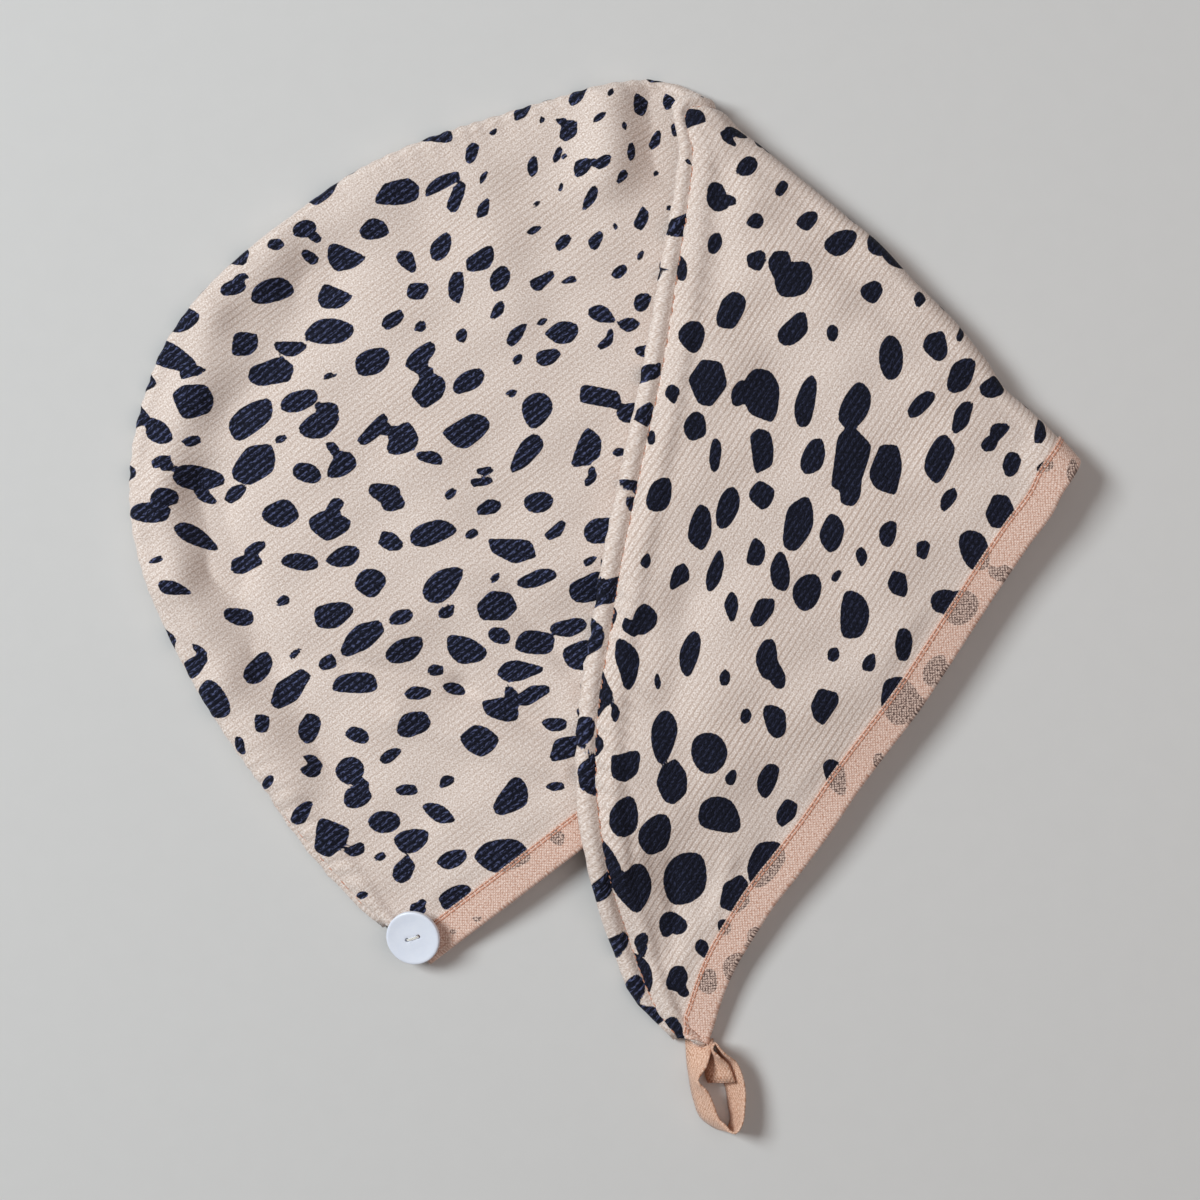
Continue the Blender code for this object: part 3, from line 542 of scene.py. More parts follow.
# %% Creases of the crown
CROWN_CREASES = [
    # x0, y0, x1, y1, half width, lift in metres
    (0.65, 0.78, 0.40, 0.83, 0.026, 0.0010),
    (0.40, 0.83, 0.28, 0.81, 0.027, 0.0026),
    (0.28, 0.81, 0.10, 0.68, 0.027, 0.0030),
    (0.10, 0.68, 0.04, 0.57, 0.027, 0.0028),
    (0.04, 0.57, 0.01, 0.44, 0.027, 0.0026),
    (0.01, 0.44, 0.00, 0.28, 0.024, 0.0022),
    (0.55, 0.74, 0.40, 0.76, 0.033, -0.0020),
    (0.40, 0.76, 0.22, 0.70, 0.033, -0.0026),
    (0.22, 0.70, 0.15, 0.65, 0.033, -0.0020),
    (0.15, 0.65, 0.10, 0.55, 0.030, -0.0034),
    (0.10, 0.55, 0.07, 0.43, 0.027, -0.0034),
    (0.07, 0.43, 0.06, 0.28, 0.027, -0.0028),
    (0.06, 0.28, 0.10, 0.15, 0.024, -0.0022),
    (0.15, 0.36, 0.24, 0.25, 0.015, -0.0020),
    (0.24, 0.25, 0.32, 0.10, 0.016, -0.0030),
    (0.16, 0.27, 0.28, 0.09, 0.018, 0.0022),
    (0.36, 0.30, 0.37, 0.19, 0.015, -0.0018),
    (0.31, 0.32, 0.35, 0.16, 0.015, 0.0014),
    (0.83, 0.71, 0.78, 0.65, 0.038, 0.0080),
    (0.88, 0.68, 0.85, 0.61, 0.036, -0.0045),
    (0.65, 0.74, 0.58, 0.57, 0.036, 0.0012),
]
print("creases of the crown", len(CROWN_CREASES))

# %% Creases of the tail
TAIL_CREASES = [
    # x0, y0, x1, y1, half width, lift in metres
    (-0.17, 0.73, -0.10, 0.63, 0.043, 0.0024),
    (-0.15, 0.66, 0.00, 0.06, 0.046, -0.0024),
    (-0.11, 0.68, 0.06, 0.58, 0.025, -0.0020),
    (-0.03, 0.56, -0.04, 0.44, 0.036, 0.0012),
    (0.10, 0.46, 0.11, 0.23, 0.036, -0.0022),
    (-0.03, 0.37, 0.00, 0.12, 0.028, 0.0010),
    (0.46, 0.22, 0.78, 0.17, 0.065, -0.0024),
    (0.45, 0.38, 0.59, 0.32, 0.028, -0.0016),
    (0.81, 0.24, 0.92, 0.15, 0.014, 0.0016),
    (0.80, 0.19, 0.90, 0.12, 0.014, -0.0016),
    (0.75, 0.12, 0.87, 0.07, 0.014, 0.0012),
]
print("creases of the tail", len(TAIL_CREASES))

# %% Ripples
RIPPLES = [
    # length in metres, heading in degrees, start
    (0.043, 14, 0.3),
    (0.034, 81, 1.7),
    (0.026, 127, 4.0),
    (0.051, 166, 2.2),
]
RIPPLE = 0.00030


def ripples(plan):
    """Soft unevenness all over, as a lift: the cloth lies on air and isn't ironed."""
    waves = [np.sin(2 * np.pi * (plan @ heading(turn)) / length + start) for length, turn, start in RIPPLES]
    return RIPPLE * sum(waves)


def under_tail(plan):
    """From 0 beside the tail to 1 where it lies over the crown."""
    sewn = np.array([row[2:4] for row in TAIL_STATIONS]) * (TAIL_HEM, TAIL_WIDTH)
    along, inward = np.moveaxis(TAIL.back(plan), -1, 0)
    return smooth((np.interp(along, sewn[:, 0], sewn[:, 1]) - inward) / 0.010 + 1)


# %% Pleats
PLEAT = 0.0008  # how far the pleats along the seam stand out
PLEAT_EVERY = 0.0075
PLEAT_VARIES = 0.043  # their spacing changes over this run, and their height over the next
PLEAT_GROWS = 0.19
PLEAT_MIDDLE = 0.005
PLEAT_REACH = 0.011
KNOT_REACH = 0.030  # round the fold's upper end, where the pleats are deepest
NAPE_SEAM = 0.22  # the shares of the seam at which its side by the nape ends and its tail begins
TAIL_SEAM = 0.6


def seam_on_top(run):
    """1 along the tail, where the seam lies on top, less by the nape, and 0 round the crown's rim."""
    share = run / run[-1]
    return np.maximum(smooth((share - TAIL_SEAM) / 0.1), 0.45 * smooth((NAPE_SEAM - share) / 0.1))


def pleats(wall):
    """Small pleats across the sewn edge, as a lift."""
    run = lengths_along(wall[:, -1, :3])
    waves = np.sin(2 * np.pi * run / PLEAT_EVERY + 1.4 * np.sin(2 * np.pi * run / PLEAT_VARIES))
    knot = np.linalg.norm(FOLD.back(wall[:, -1, :2]) - (FOLD_WIDTH, 0.0), axis=1)
    strength = PLEAT * (0.6 + 0.4 * np.sin(2 * np.pi * run / PLEAT_GROWS) + 0.5 * hump(knot, KNOT_REACH))
    strength = strength * mix(0.4, 1.0, seam_on_top(run) ** 2)
    return (waves * strength)[:, None] * hump(wall[..., FROM_SEAM] - PLEAT_MIDDLE, PLEAT_REACH)


# %% The fold's edge
FOLD_EDGE = [
    # along, out in metres
    (-0.05, 0.0000),
    (0.06, 0.0014),
    (0.12, 0.0005),
    (0.18, -0.0010),
    (0.25, 0.0012),
    (0.32, 0.0016),
    (0.43, 0.0001),
    (0.52, 0.0010),
    (0.60, 0.0002),
    (0.78, 0.0003),
    (0.84, -0.0008),
    (0.90, 0.0005),
    (0.97, 0.0021),
    (1.05, 0.0018),
]


def fold_wave(wall):
    """How far the fold's edge wanders outwards, from its table. It fades out on both sides of the fold."""
    edge = np.array(FOLD_EDGE)
    along = FOLD.back(wall[..., :2])[..., 0] / FOLD_WIDTH
    row = np.interp(along, edge[:, 0], np.arange(len(edge)))
    wave = mix(edge[row.astype(int), 1], edge[np.ceil(row).astype(int), 1], smooth(row % 1))
    return np.sin(np.pi * wall[..., PART]) * wave


# %% The hem beside the fold
HEM_DRAWN = 0.0020  # the hems are drawn out this far beside the fold, which makes them straight there
HEM_DRAWN_RUN = 0.0068  # along the hem
HEM_DRAWN_DEPTH = 0.035  # and into the cloth


def hem_drawn(wall):
    """How far the cloth is drawn out where the fold ends and the tail starts."""
    run = lengths_along(wall[:, 0, :3])
    corner = run[np.argmax(wall[:, 0, PART] > 0.99)]
    drawn = HEM_DRAWN * hump(run - corner - 0.001, HEM_DRAWN_RUN)
    return drawn[:, None] * hump(wall[..., FROM_HEM], HEM_DRAWN_DEPTH)


# %% Creased walls
SEAM_DIP = 0.0014
SEAM_DIP_WIDTH = 0.0022
ROLL_SWELL = 0.0021
ROLL_MIDDLE = 0.0075
ROLL_WIDTH = 0.0045
CLEAR_RUN = 0.012  # the folds fade out in this run before the hem and the seam


def normals_of(points):
    return unit(np.cross(np.gradient(points[..., :3], axis=0), np.gradient(points[..., :3], axis=1)))


def creased(wall, crown, outward):
    """The wall with its fine folds. Crown says which part it tops, and outward is its normals' side."""
    plan = wall[..., :2]
    clear_of_hem = smooth((wall[..., FROM_HEM] - TAPE_WIDTH) / CLEAR_RUN)
    clear_of_seam = smooth(wall[..., FROM_SEAM] / CLEAR_RUN)
    if crown:
        share = smooth(1 - 4 * wall[..., PART])
        lift = folds(CROWN_CREASES, CROWN.back(plan), CROWN_HEM)
        lift = np.minimum(lift, lift * (1 - under_tail(plan)))
    else:
        share = smooth(2.5 * wall[..., PART] - 1.5)
        lift = folds(TAIL_CREASES, TAIL.back(plan), TAIL_HEM)
    made = wall.copy()
    made[..., Z] += share * clear_of_hem * clear_of_seam * (lift + ripples(plan))
    if crown:  # it stays above the lower panel
        made[..., Z] = np.maximum(made[..., Z], np.minimum(wall[..., Z], 1.5 * CLOTH + 2 * GAP))
    made[..., :2] += fold_wave(wall)[..., None] * FOLD.across
    made[..., :2] -= hem_drawn(wall)[..., None] * TAIL.across
    depth = SEAM_DIP * hump(wall[..., FROM_SEAM], SEAM_DIP_WIDTH)
    swell = ROLL_SWELL * hump(wall[..., FROM_SEAM] - ROLL_MIDDLE, ROLL_WIDTH)
    swell *= mix(0.25, 1.0, seam_on_top(lengths_along(wall[:, -1, :3])))[:, None]
    made[..., :3] += normals_of(wall) * (outward * (swell - depth + pleats(wall)))[..., None]
    made[..., Z] = np.maximum(made[..., Z], np.minimum(wall[..., Z], CLOTH / 2))  # and above the table
    return made


# %% Folds on both walls
# The sides of the two walls' normals that face out of the towel.
BACK_OUT = -1
FRONT_OUT = 1
back_wall = creased(back_wall, False, BACK_OUT)
front_wall = creased(front_wall, True, FRONT_OUT)
print("highest point of the front wall", round(float(front_wall[..., Z].max()), 4), "m")

# %% [markdown]
# ## The print
# The cloth has an animal-spot print. Real prints of this kind mix pebbles, leaves and cut shapes, small and
# close in some places and large and far apart in others. The spots are scattered here from tables of zones:
# each row says how long, how far apart, how slim and how turned the spots are near one place. A spot is a
# rounded polygon, and some have a side cut off or a corner drawn out to a point. Every point of the cloth
# then gets its depth inside the spots, and the material draws the ink where that is positive.

# %% Zones of the crown
FRONT_ZONES = [
    # along, in (of CROWN_HEM), length, spacing (m), slim, turn in degrees
    (0.18, 0.75, 0.0205, 0.0149, 0.58, -30),
    (0.05, 0.60, 0.0167, 0.0153, 0.45, -42),
    (0.34, 0.79, 0.0178, 0.0149, 0.60, -45),
    (0.24, 0.58, 0.0167, 0.0126, 0.50, -15),
    (0.08, 0.48, 0.0178, 0.0158, 0.62, -39),
    (0.00, 0.39, 0.0167, 0.0149, 0.62, 60),
    (0.57, 0.80, 0.0150, 0.0145, 0.50, -34),
    (0.47, 0.75, 0.0189, 0.0149, 0.62, -40),
    (0.70, 0.73, 0.0110, 0.0112, 0.52, 15),
    (0.56, 0.62, 0.0115, 0.0108, 0.54, 20),
    (0.78, 0.67, 0.0095, 0.0090, 0.52, 25),
    (0.75, 0.58, 0.0082, 0.0098, 0.52, 40),
    (0.66, 0.51, 0.0125, 0.0115, 0.56, -30),
    (0.61, 0.42, 0.0165, 0.0130, 0.60, -30),
    (0.51, 0.40, 0.0180, 0.0150, 0.62, 5),
    (0.42, 0.57, 0.0160, 0.0145, 0.60, 5),
    (0.23, 0.46, 0.0172, 0.0153, 0.60, -30),
    (0.39, 0.40, 0.0150, 0.0135, 0.50, -10),
    (0.15, 0.36, 0.0155, 0.0135, 0.54, -3),
    (0.30, 0.30, 0.0167, 0.0135, 0.54, -30),
    (0.33, 0.16, 0.0172, 0.0126, 0.50, -28),
    (0.19, 0.21, 0.0189, 0.0149, 0.62, -24),
    (0.06, 0.18, 0.0144, 0.0121, 0.62, -32),
    (0.21, 0.09, 0.0222, 0.0180, 0.66, -38),
    (0.06, 0.05, 0.0111, 0.0126, 0.58, -15),
    (1.10, 0.40, 0.0167, 0.0153, 0.60, 0),
]
print("zones of the crown", len(FRONT_ZONES))

# %% Zones of the tail
BACK_ZONES = [
    # along, in (of TAIL_HEM), length, spacing (m), slim, turn in degrees
    (-0.15, 0.74, 0.0113, 0.0147, 0.56, 50),
    (-0.05, 0.62, 0.0123, 0.0147, 0.62, -8),
    (-0.06, 0.51, 0.0159, 0.0157, 0.62, 12),
    (0.05, 0.47, 0.0182, 0.0190, 0.64, 6),
    (-0.05, 0.20, 0.0164, 0.0137, 0.54, 5),
    (0.10, 0.33, 0.0175, 0.0176, 0.60, 20),
    (0.17, 0.22, 0.0185, 0.0162, 0.64, -5),
    (0.24, 0.46, 0.0198, 0.0178, 0.66, -25),
    (0.36, 0.48, 0.0148, 0.0120, 0.54, -25),
    (0.37, 0.30, 0.0158, 0.0150, 0.66, 5),
    (0.37, 0.12, 0.0159, 0.0171, 0.72, -30),
    (0.55, 0.34, 0.0148, 0.0155, 0.66, -18),
    (0.54, 0.14, 0.0155, 0.0196, 0.70, -25),
    (0.69, 0.30, 0.0170, 0.0147, 0.70, -20),
    (0.68, 0.16, 0.0195, 0.0161, 0.72, 0),
    (0.82, 0.20, 0.0196, 0.0136, 0.72, -15),
    (0.93, 0.13, 0.0175, 0.0145, 0.66, -19),
    (-0.70, 0.40, 0.0155, 0.0166, 0.60, -20),
]
print("zones of the tail", len(BACK_ZONES))

# %% [markdown]
# A spot is a ring of six to eight sides round its middle. It is kept as numbers only, because the print is a
# colour of the cloth and not a shape on it.

# %% One spot
CUT_OFF = 0.25  # the share of spots that are cut off straight, and of those drawn out to a point
DRAWN_OUT = 0.55
SLIMMEST = 0.0011


def zone_at(zones, length, point):
    """Length, spacing, slimness and turn at a point, from the zones around it."""
    table = np.array(zones)
    away = np.linalg.norm(table[:, :2] * length - point, axis=1)
    weight = 1 / (away + 0.008) ** 4
    return weight @ table[:, 2:] / weight.sum()


def pebble(rng, place, half, slim, turn):
    """A spot: its middle, half length, half width, turn and roundness, and its six to eight sides."""
    count = rng.integers(6, 9)
    ways = (np.arange(count) + rng.uniform(-0.28, 0.28, count)) * 2 * math.pi / count
    reach = rng.uniform(0.90, 1.1, count)
    if rng.random() < CUT_OFF:
        reach[rng.integers(count)] = rng.uniform(0.35, 0.65)
    if rng.random() < DRAWN_OUT:
        reach[rng.integers(count)] = 1.35
    sides = np.column_stack([np.cos(ways), np.sin(ways), reach])
    return place, half, max(half * slim, SLIMMEST), turn, rng.choice([0.10, 0.17, 0.24]), sides


# %% Scattered spots
SPOT_SIZES = [0.40, 0.62, 0.82, 1.0, 1.18]
SIZE_SHARES = [0.12, 0.15, 0.24, 0.30, 0.19]
THROWS = 9000
NEIGHBOURS = 0.12  # the share of spots that get another one that touches them
ROOM_ALONG = 1.15  # the room of a spot is an oval: this much longer along its turn, and narrower across
ROOM_ACROSS = 1.12


def scattered(zones, length, low, high, seed):
    """Spots thrown at random between two corners, each kept if it has its room. A few get a neighbour."""
    rng = np.random.default_rng(seed)
    places = np.empty((0, 3))
    spots = []
    for _ in range(THROWS):
        point = rng.uniform(low, high)
        long, spacing, slim, turn = zone_at(zones, length, point)
        size = rng.choice(SPOT_SIZES, p=SIZE_SHARES)
        room = spacing * (0.56 + 0.5 * size)
        oval = np.column_stack([heading(turn) / ROOM_ALONG, heading(turn + 90) * ROOM_ACROSS])
        away = np.linalg.norm((places[:, :2] - point) @ oval, axis=1)
        if (away < (room + places[:, 2]) / 2).any():
            continue
        places = np.vstack([places, (*point, room)])
        half = long * size / 2
        slim = float(np.clip(slim * rng.uniform(0.8, 1.35), 0.3, 0.95))
        turn = math.radians(turn + rng.normal(0, 18))
        spots.append(pebble(rng, point, half, slim, turn))
        if rng.random() < NEIGHBOURS:
            way = turn + rng.uniform(0.4, 1.4) * rng.choice([-1, 1])
            other = point + np.array([math.cos(way), math.sin(way)]) * half * 0.95
            spots.append(pebble(rng, other, half * rng.uniform(0.5, 0.85), slim, turn + rng.normal(0, 0.6)))
    return spots


flat_ways = [unit(unfolded(TAIL.out(*step)) - unfolded(TAIL.origin)) for step in ((1, 0), (0, 1))]
FLAT_TAIL = Frame(unfolded(TAIL.origin), *flat_ways)
FRONT_SPOTS = scattered(FRONT_ZONES, CROWN_HEM, (-0.03, -0.04), (0.66, 0.31), 5)
BACK_SPOTS = scattered(BACK_ZONES, TAIL_HEM, (-0.36, -0.03), (0.31, 0.29), 11)
print("spots", len(FRONT_SPOTS), len(BACK_SPOTS))

# %% [markdown]
# The depth inside one spot is that of its nearest side, with rounded corners. The depths of all the spots
# are blended, so that two that nearly touch run into each other.

# %% The print's depth
SPOT_BLEND = 0.0004  # spots closer than about this are joined by a short neck
FAR_OUTSIDE = -0.02


def print_depth(points, spots):
    """How deep each point lies inside the spots, in metres, and negative outside. Close spots blend."""
    flat = points.reshape(-1, 2)
    depth = np.full(len(flat), FAR_OUTSIDE)
    order = np.argsort(flat[:, 0])
    sorted_x = flat[order, 0]
    for place, half, width, turn, roundness, sides in spots:
        reach = half * 1.5 + 0.002
        first, last = np.searchsorted(sorted_x, [place[0] - reach, place[0] + reach])
        near = order[first:last]
        near = near[np.abs(flat[near, 1] - place[1]) < reach]
        if not len(near):
            continue
        cos, sin = math.cos(turn), math.sin(turn)
        here = (flat[near] - place) @ np.array([[cos, -sin], [sin, cos]])
        scale = np.array([half, width])
        away = sides[:, 2] - (here / scale) @ sides[:, :2].T
        away /= np.linalg.norm(sides[:, :2] / scale, axis=1)
        corner = roundness * width
        inside = -corner * np.log(np.exp(-away / corner).sum(axis=1))
        depth[near] = SPOT_BLEND * np.logaddexp(depth[near] / SPOT_BLEND, inside / SPOT_BLEND)
    return depth.reshape(points.shape[:-1])


def front_print(flat):
    return print_depth(flat, FRONT_SPOTS)


def back_print(flat):
    return print_depth(FLAT_TAIL.back(flat), BACK_SPOTS)


def no_print(flat):
    return np.full(flat.shape[:2], FAR_OUTSIDE)


deepest = front_print(front_wall[::20, ::20, FLAT_X : FLAT_Y + 1]).max()
print("deepest print on the crown", round(float(deepest), 4), "m")

# %% [markdown]
# ## From a wall to a mesh
# A panel is a closed shell: the wall's middle moved out by half the cloth on one side and in on the other,
# and joined all round. The side inside the towel has every other point only. The flat place of each point
# goes into a UV map, so that the ribs run on over the fold, and the print's depth goes into an attribute.

# %% Place of the nape
BUTTON_ON_CROWN = (0.0018, 0.0128)  # its middle, along the hem from the nape and in
BUTTON_MIDDLE = sum((Vector(corner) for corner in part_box("button")), Vector()) / 2
NAPE = np.array(BUTTON_MIDDLE[:2]) - CROWN.out(*BUTTON_ON_CROWN)
print("nape", NAPE.round(4))


# %% Faces of a shell
def quads_of(index):
    return np.stack([index[:-1, :-1], index[:-1, 1:], index[1:, 1:], index[1:, :-1]], -1).reshape(-1, 4)


def around(index):
    """The points of a grid's four edges, in one loop."""
    return np.concatenate([index[0, :], index[1:, -1], index[-1, -2::-1], index[-2:0:-1, 0]])


def shell_faces(rows, columns):
    """Faces of a fine outer grid and an inner one of every other point, closed along all four edges."""
    fine = np.arange(rows * columns).reshape(rows, columns)
    coarse = rows * columns + np.arange(((rows + 1) // 2) * ((columns + 1) // 2))
    coarse = coarse.reshape((rows + 1) // 2, (columns + 1) // 2)
    rim, inner = around(fine), around(coarse)
    next_inner = np.roll(inner, -1)
    sides = np.stack([np.roll(rim, -2)[::2], rim[1::2], rim[::2], inner, next_inner], -1)
    return [*quads_of(fine).tolist(), *quads_of(coarse)[:, ::-1].tolist(), *sides.tolist()]


# %% Objects
def add_mesh(name, points, faces):
    mesh = bpy.data.meshes.new(name)
    moved = points.reshape(-1, 3) + (*NAPE, 0)
    mesh.from_pydata(moved.tolist(), [], list(faces))
    mesh.update()
    made = bpy.data.objects.new(name, mesh)
    bpy.context.scene.collection.objects.link(made)
    for polygon in mesh.polygons:
        polygon.use_smooth = True
    return made


def add_channels(mesh, flat, **channels):
    """The UV map in metres of flat cloth, and one float attribute for each named channel."""
    loops = np.empty(len(mesh.loops), np.int32)
    mesh.loops.foreach_get("vertex_index", loops)
    layer = mesh.uv_layers.new(name="cloth")
    layer.uv.foreach_set("vector", flat[loops].astype(np.float32).ravel())
    for name, values in channels.items():
        made = mesh.attributes.new(name, "FLOAT", "POINT")
        made.data.foreach_set("value", values.astype(np.float32).ravel())


# %% Panels
def both_sides(outer, inner):
    """Values at a shell's fine outer points and then at its coarser inner ones."""
    return np.concatenate([grid.reshape(-1, *grid.shape[2:]) for grid in (outer, inner[::2, ::2])])


def add_wall(name, wall, thick, outward, print_on, ribbed=1.0):
    """A closed shell of cloth round a wall. Ribbed is how much its ribs stand out of the pile."""
    half = normals_of(wall) * outward * thick / 2
    points = both_sides(wall[..., :3] + half, wall[..., :3] - half)
    points[:, 2] = np.maximum(points[:, 2], TABLE_CLEAR / 2)
    faces = shell_faces(*wall.shape[:2])
    if outward < 0:
        faces = [face[::-1] for face in faces]
    made = add_mesh(name, points, faces)
    flat = wall[..., FLAT_X : FLAT_Y + 1]
    ink = print_on(flat) * 1000  # in millimetres
    rib = np.full(len(points), ribbed)
    add_channels(made.data, both_sides(flat, flat), ink=both_sides(ink, ink), rib=rib)
    print(name, len(made.data.vertices), "points")
    return made


back_panel = add_wall("back_panel_cloth", back_wall, CLOTH, BACK_OUT, back_print)
front_panel = add_wall("front_panel_cloth", front_wall, CLOTH, FRONT_OUT, front_print, 0.65)

# %% [markdown]
# ## The hem tape
# A folded satin tape wraps each open edge. Its middle follows the cloth's own wall on both sides, and goes
# round the raw edge in a half circle, so it can't cut into the cloth.

# %% Hem tapes
LIMB = CLOTH / 2 + GAP + TAPE / 2
TURN_STEPS = 8


def tape_wall(wall, outward):
    """The tape's own wall: over the outer face, round the raw edge, and back on the inner face."""
    under = wall[:, : TAPE_COLUMNS + 1]
    face = normals_of(wall)[:, : TAPE_COLUMNS + 1] * outward
    inward = unit(wall[:, 1, :3] - wall[:, 0, :3])[:, None]
    first = face[:, :1]
    angles = np.linspace(0, np.pi, TURN_STEPS + 1)[1:-1][None, :, None]
    rim = np.repeat(under[:, :1], TURN_STEPS - 1, axis=1)
    rim[..., :3] += first * LIMB * np.cos(angles) - inward * LIMB * np.sin(angles)
    outer = under[:, ::-1].copy()
    outer[..., :3] += (face * LIMB)[:, ::-1]
    inner = under.copy()
    inner[..., :3] -= face * LIMB
    return np.concatenate([outer, rim, inner], axis=1)


front_tape_wall = tape_wall(front_wall, FRONT_OUT)
back_tape_wall = tape_wall(back_wall, BACK_OUT)
front_tape = add_wall("front_hem_binding", front_tape_wall, TAPE, -FRONT_OUT, front_print)
back_tape = add_wall("back_hem_binding", back_tape_wall, TAPE, -BACK_OUT, back_print)

# %% [markdown]
# ## Stitches
# Two close rows of stitches near its inner edge hold the tape. One stitch is modelled as a short bead of
# thread with pointed ends, and copied along the rows.

# %% One stitch
STITCH = 0.0025
STITCH_THREAD = 0.00055
STITCH_FLAT = 1.3  # the tape presses the thread this much wider than it is high
RINGS = [(-0.42, 0.75), (-0.1, 1.0), (0.1, 1.0), (0.42, 0.75)]  # place and size, as shares


def stitch_template():
    """Points along x, with y across and z up, and the faces round them."""
    points = [(-0.5 * STITCH, 0, 0)]
    for x, size in RINGS:
        for k in range(6):
            turn = k * math.pi / 3
            y = size * STITCH_THREAD * math.cos(turn) / 2 * STITCH_FLAT
            points.append((x * STITCH, y, size * STITCH_THREAD * math.sin(turn) / 2))
    points.append((0.5 * STITCH, 0, 0))
    faces = []
    last = len(points) - 1
    for k in range(6):
        after = (k + 1) % 6
        faces.append((0, 1 + after, 1 + k))
        faces.append((last, last - 6 + k, last - 6 + after))
        for ring in range(len(RINGS) - 1):
            a = 1 + 6 * ring
            faces.append((a + k, a + after, a + 6 + after))
            faces.append((a + k, a + 6 + after, a + 6 + k))
    return np.array(points), np.array(faces)


# %% Rows of stitches
STITCH_EVERY = 0.0027
ON_TAPE = TAPE / 2 + STITCH_THREAD * 0.1
TAPE_ROWS = (0.45, 1.25)  # in columns from the tape's inner edge


def along_row(path, every):
    """Evenly spaced points along a path of points, and their directions."""
    lengths = lengths_along(path[:, :3])
    spots = np.arange(every, lengths[-1] - every, every)
    read = lambda at: np.stack([np.interp(at, lengths, path[:, k]) for k in range(path.shape[1])], -1)
    return read(spots), unit(read(spots + every / 3)[:, :3] - read(spots - every / 3)[:, :3])


def stitch_rows(name, paths, slant=0.0):
    """Stitches along paths of x, y, z and the normal there."""
    template, template_faces = stitch_template()
    stitches = []
    for path in paths:
        places, ways = along_row(path, STITCH_EVERY)
        up_ways = unit(places[:, 3:6])
        ways = unit(ways + slant * unit(np.cross(up_ways, ways)))
        turns = np.stack([ways, np.cross(up_ways, ways), up_ways], 1)
        clear = places[:, 2] > STITCH_THREAD
        stitches.append(places[clear, None, :3] + template @ turns[clear])
    stitches = np.concatenate(stitches)
    starts = np.arange(len(stitches))[:, None, None] * len(template)
    made = add_mesh(name, stitches, (template_faces + starts).reshape(-1, 3))
    print(name, len(stitches), "stitches")
    return made


def row_on(wall, column, outward):
    """A path on a wall this many columns from its edge, with the normals there."""
    first = int(column)
    share = column - first
    normals = normals_of(wall) * outward
    place = mix(wall[:, first, :3], wall[:, first + 1, :3], share)
    upward = unit(mix(normals[:, first], normals[:, first + 1], share))
    return np.concatenate([place + upward * ON_TAPE, upward], -1)


front_stitches, back_stitches = (
    stitch_rows(name, [row_on(wall, column, outward) for column in TAPE_ROWS])
    for name, wall, outward in (
        ("front_hem_stitches", front_tape_wall, -FRONT_OUT),
        ("back_hem_stitches", back_tape_wall, -BACK_OUT),
    )
)

# %% [markdown]
# The seam itself is a row of slanting stitches at the bottom of the groove, where the two panels meet.

# %% Seam
SEAM_LIFT = 0.0008
seam_up = normals_of(front_wall)[:, -1] * FRONT_OUT
seam_path = np.concatenate([front_wall[:, -1, :3] + seam_up * SEAM_LIFT, seam_up], -1)
seam_stitches = stitch_rows("seam_stitches", [seam_path], slant=0.25)

# %% [markdown]
# ## The loop
# A ribbon of peach twill, sewn to the tip and lying as it fell: it stands on its edge and curls. The table
# gives its lower edge and its lean, and a smooth curve runs through them.

# %% Loop
LOOP_TAPE_WIDTH = 0.0125
LOOP_TAPE = 0.0009
LOOP_REACH = 0.0365
LOOP_SPREAD = 0.0215
LOOP_TURN = TAIL_HEADING + 32.5
LOOP_LENGTH = 0.11
LOOP_ROWS = [
    # down, right, lift, lean down, lean right
    (0.420, 0.215, 0.22, -7, 62),
    (0.250, 0.150, 0.13, -13, 50),
    (0.110, 0.275, 0.08, -6, 13),
    (0.030, 0.265, 0.06, -8, 1),
    (-0.042, 0.318, 0.06, -7, 2),
    (0.010, 0.385, 0.06, -6, 3),
    (0.105, 0.420, 0.04, -8, 13),
    (0.235, 0.415, 0.00, -16, 35),
    (0.380, 0.520, 0.00, -14, 37),
    (0.530, 0.585, 0.00, -6, 36),
    (0.690, 0.620, 0.00, -2, 30),
    (0.850, 0.665, 0.00, 2, 19),
    (0.955, 0.590, 0.00, 0, 14),
    (0.965, 0.430, 0.00, -5, 20),
    (0.915, 0.260, 0.00, -6, 30),
    (0.820, 0.065, 0.00, -1, 38),
    (0.655, -0.045, 0.00, 0, 38),
    (0.505, -0.110, 0.00, -4, 30),
    (0.368, -0.145, 0.00, -2, 14),
    (0.220, -0.186, 0.00, -4, 37),
    (0.020, -0.215, 0.02, -7, 58),
    (-0.075, -0.232, 0.01, -4, 71),
]
LOOP = Frame(TAIL.out(1.009 * TAIL_HEM, 0.012 * TAIL_WIDTH), heading(LOOP_TURN), heading(LOOP_TURN + 90))
ACROSS_LOOP = 9


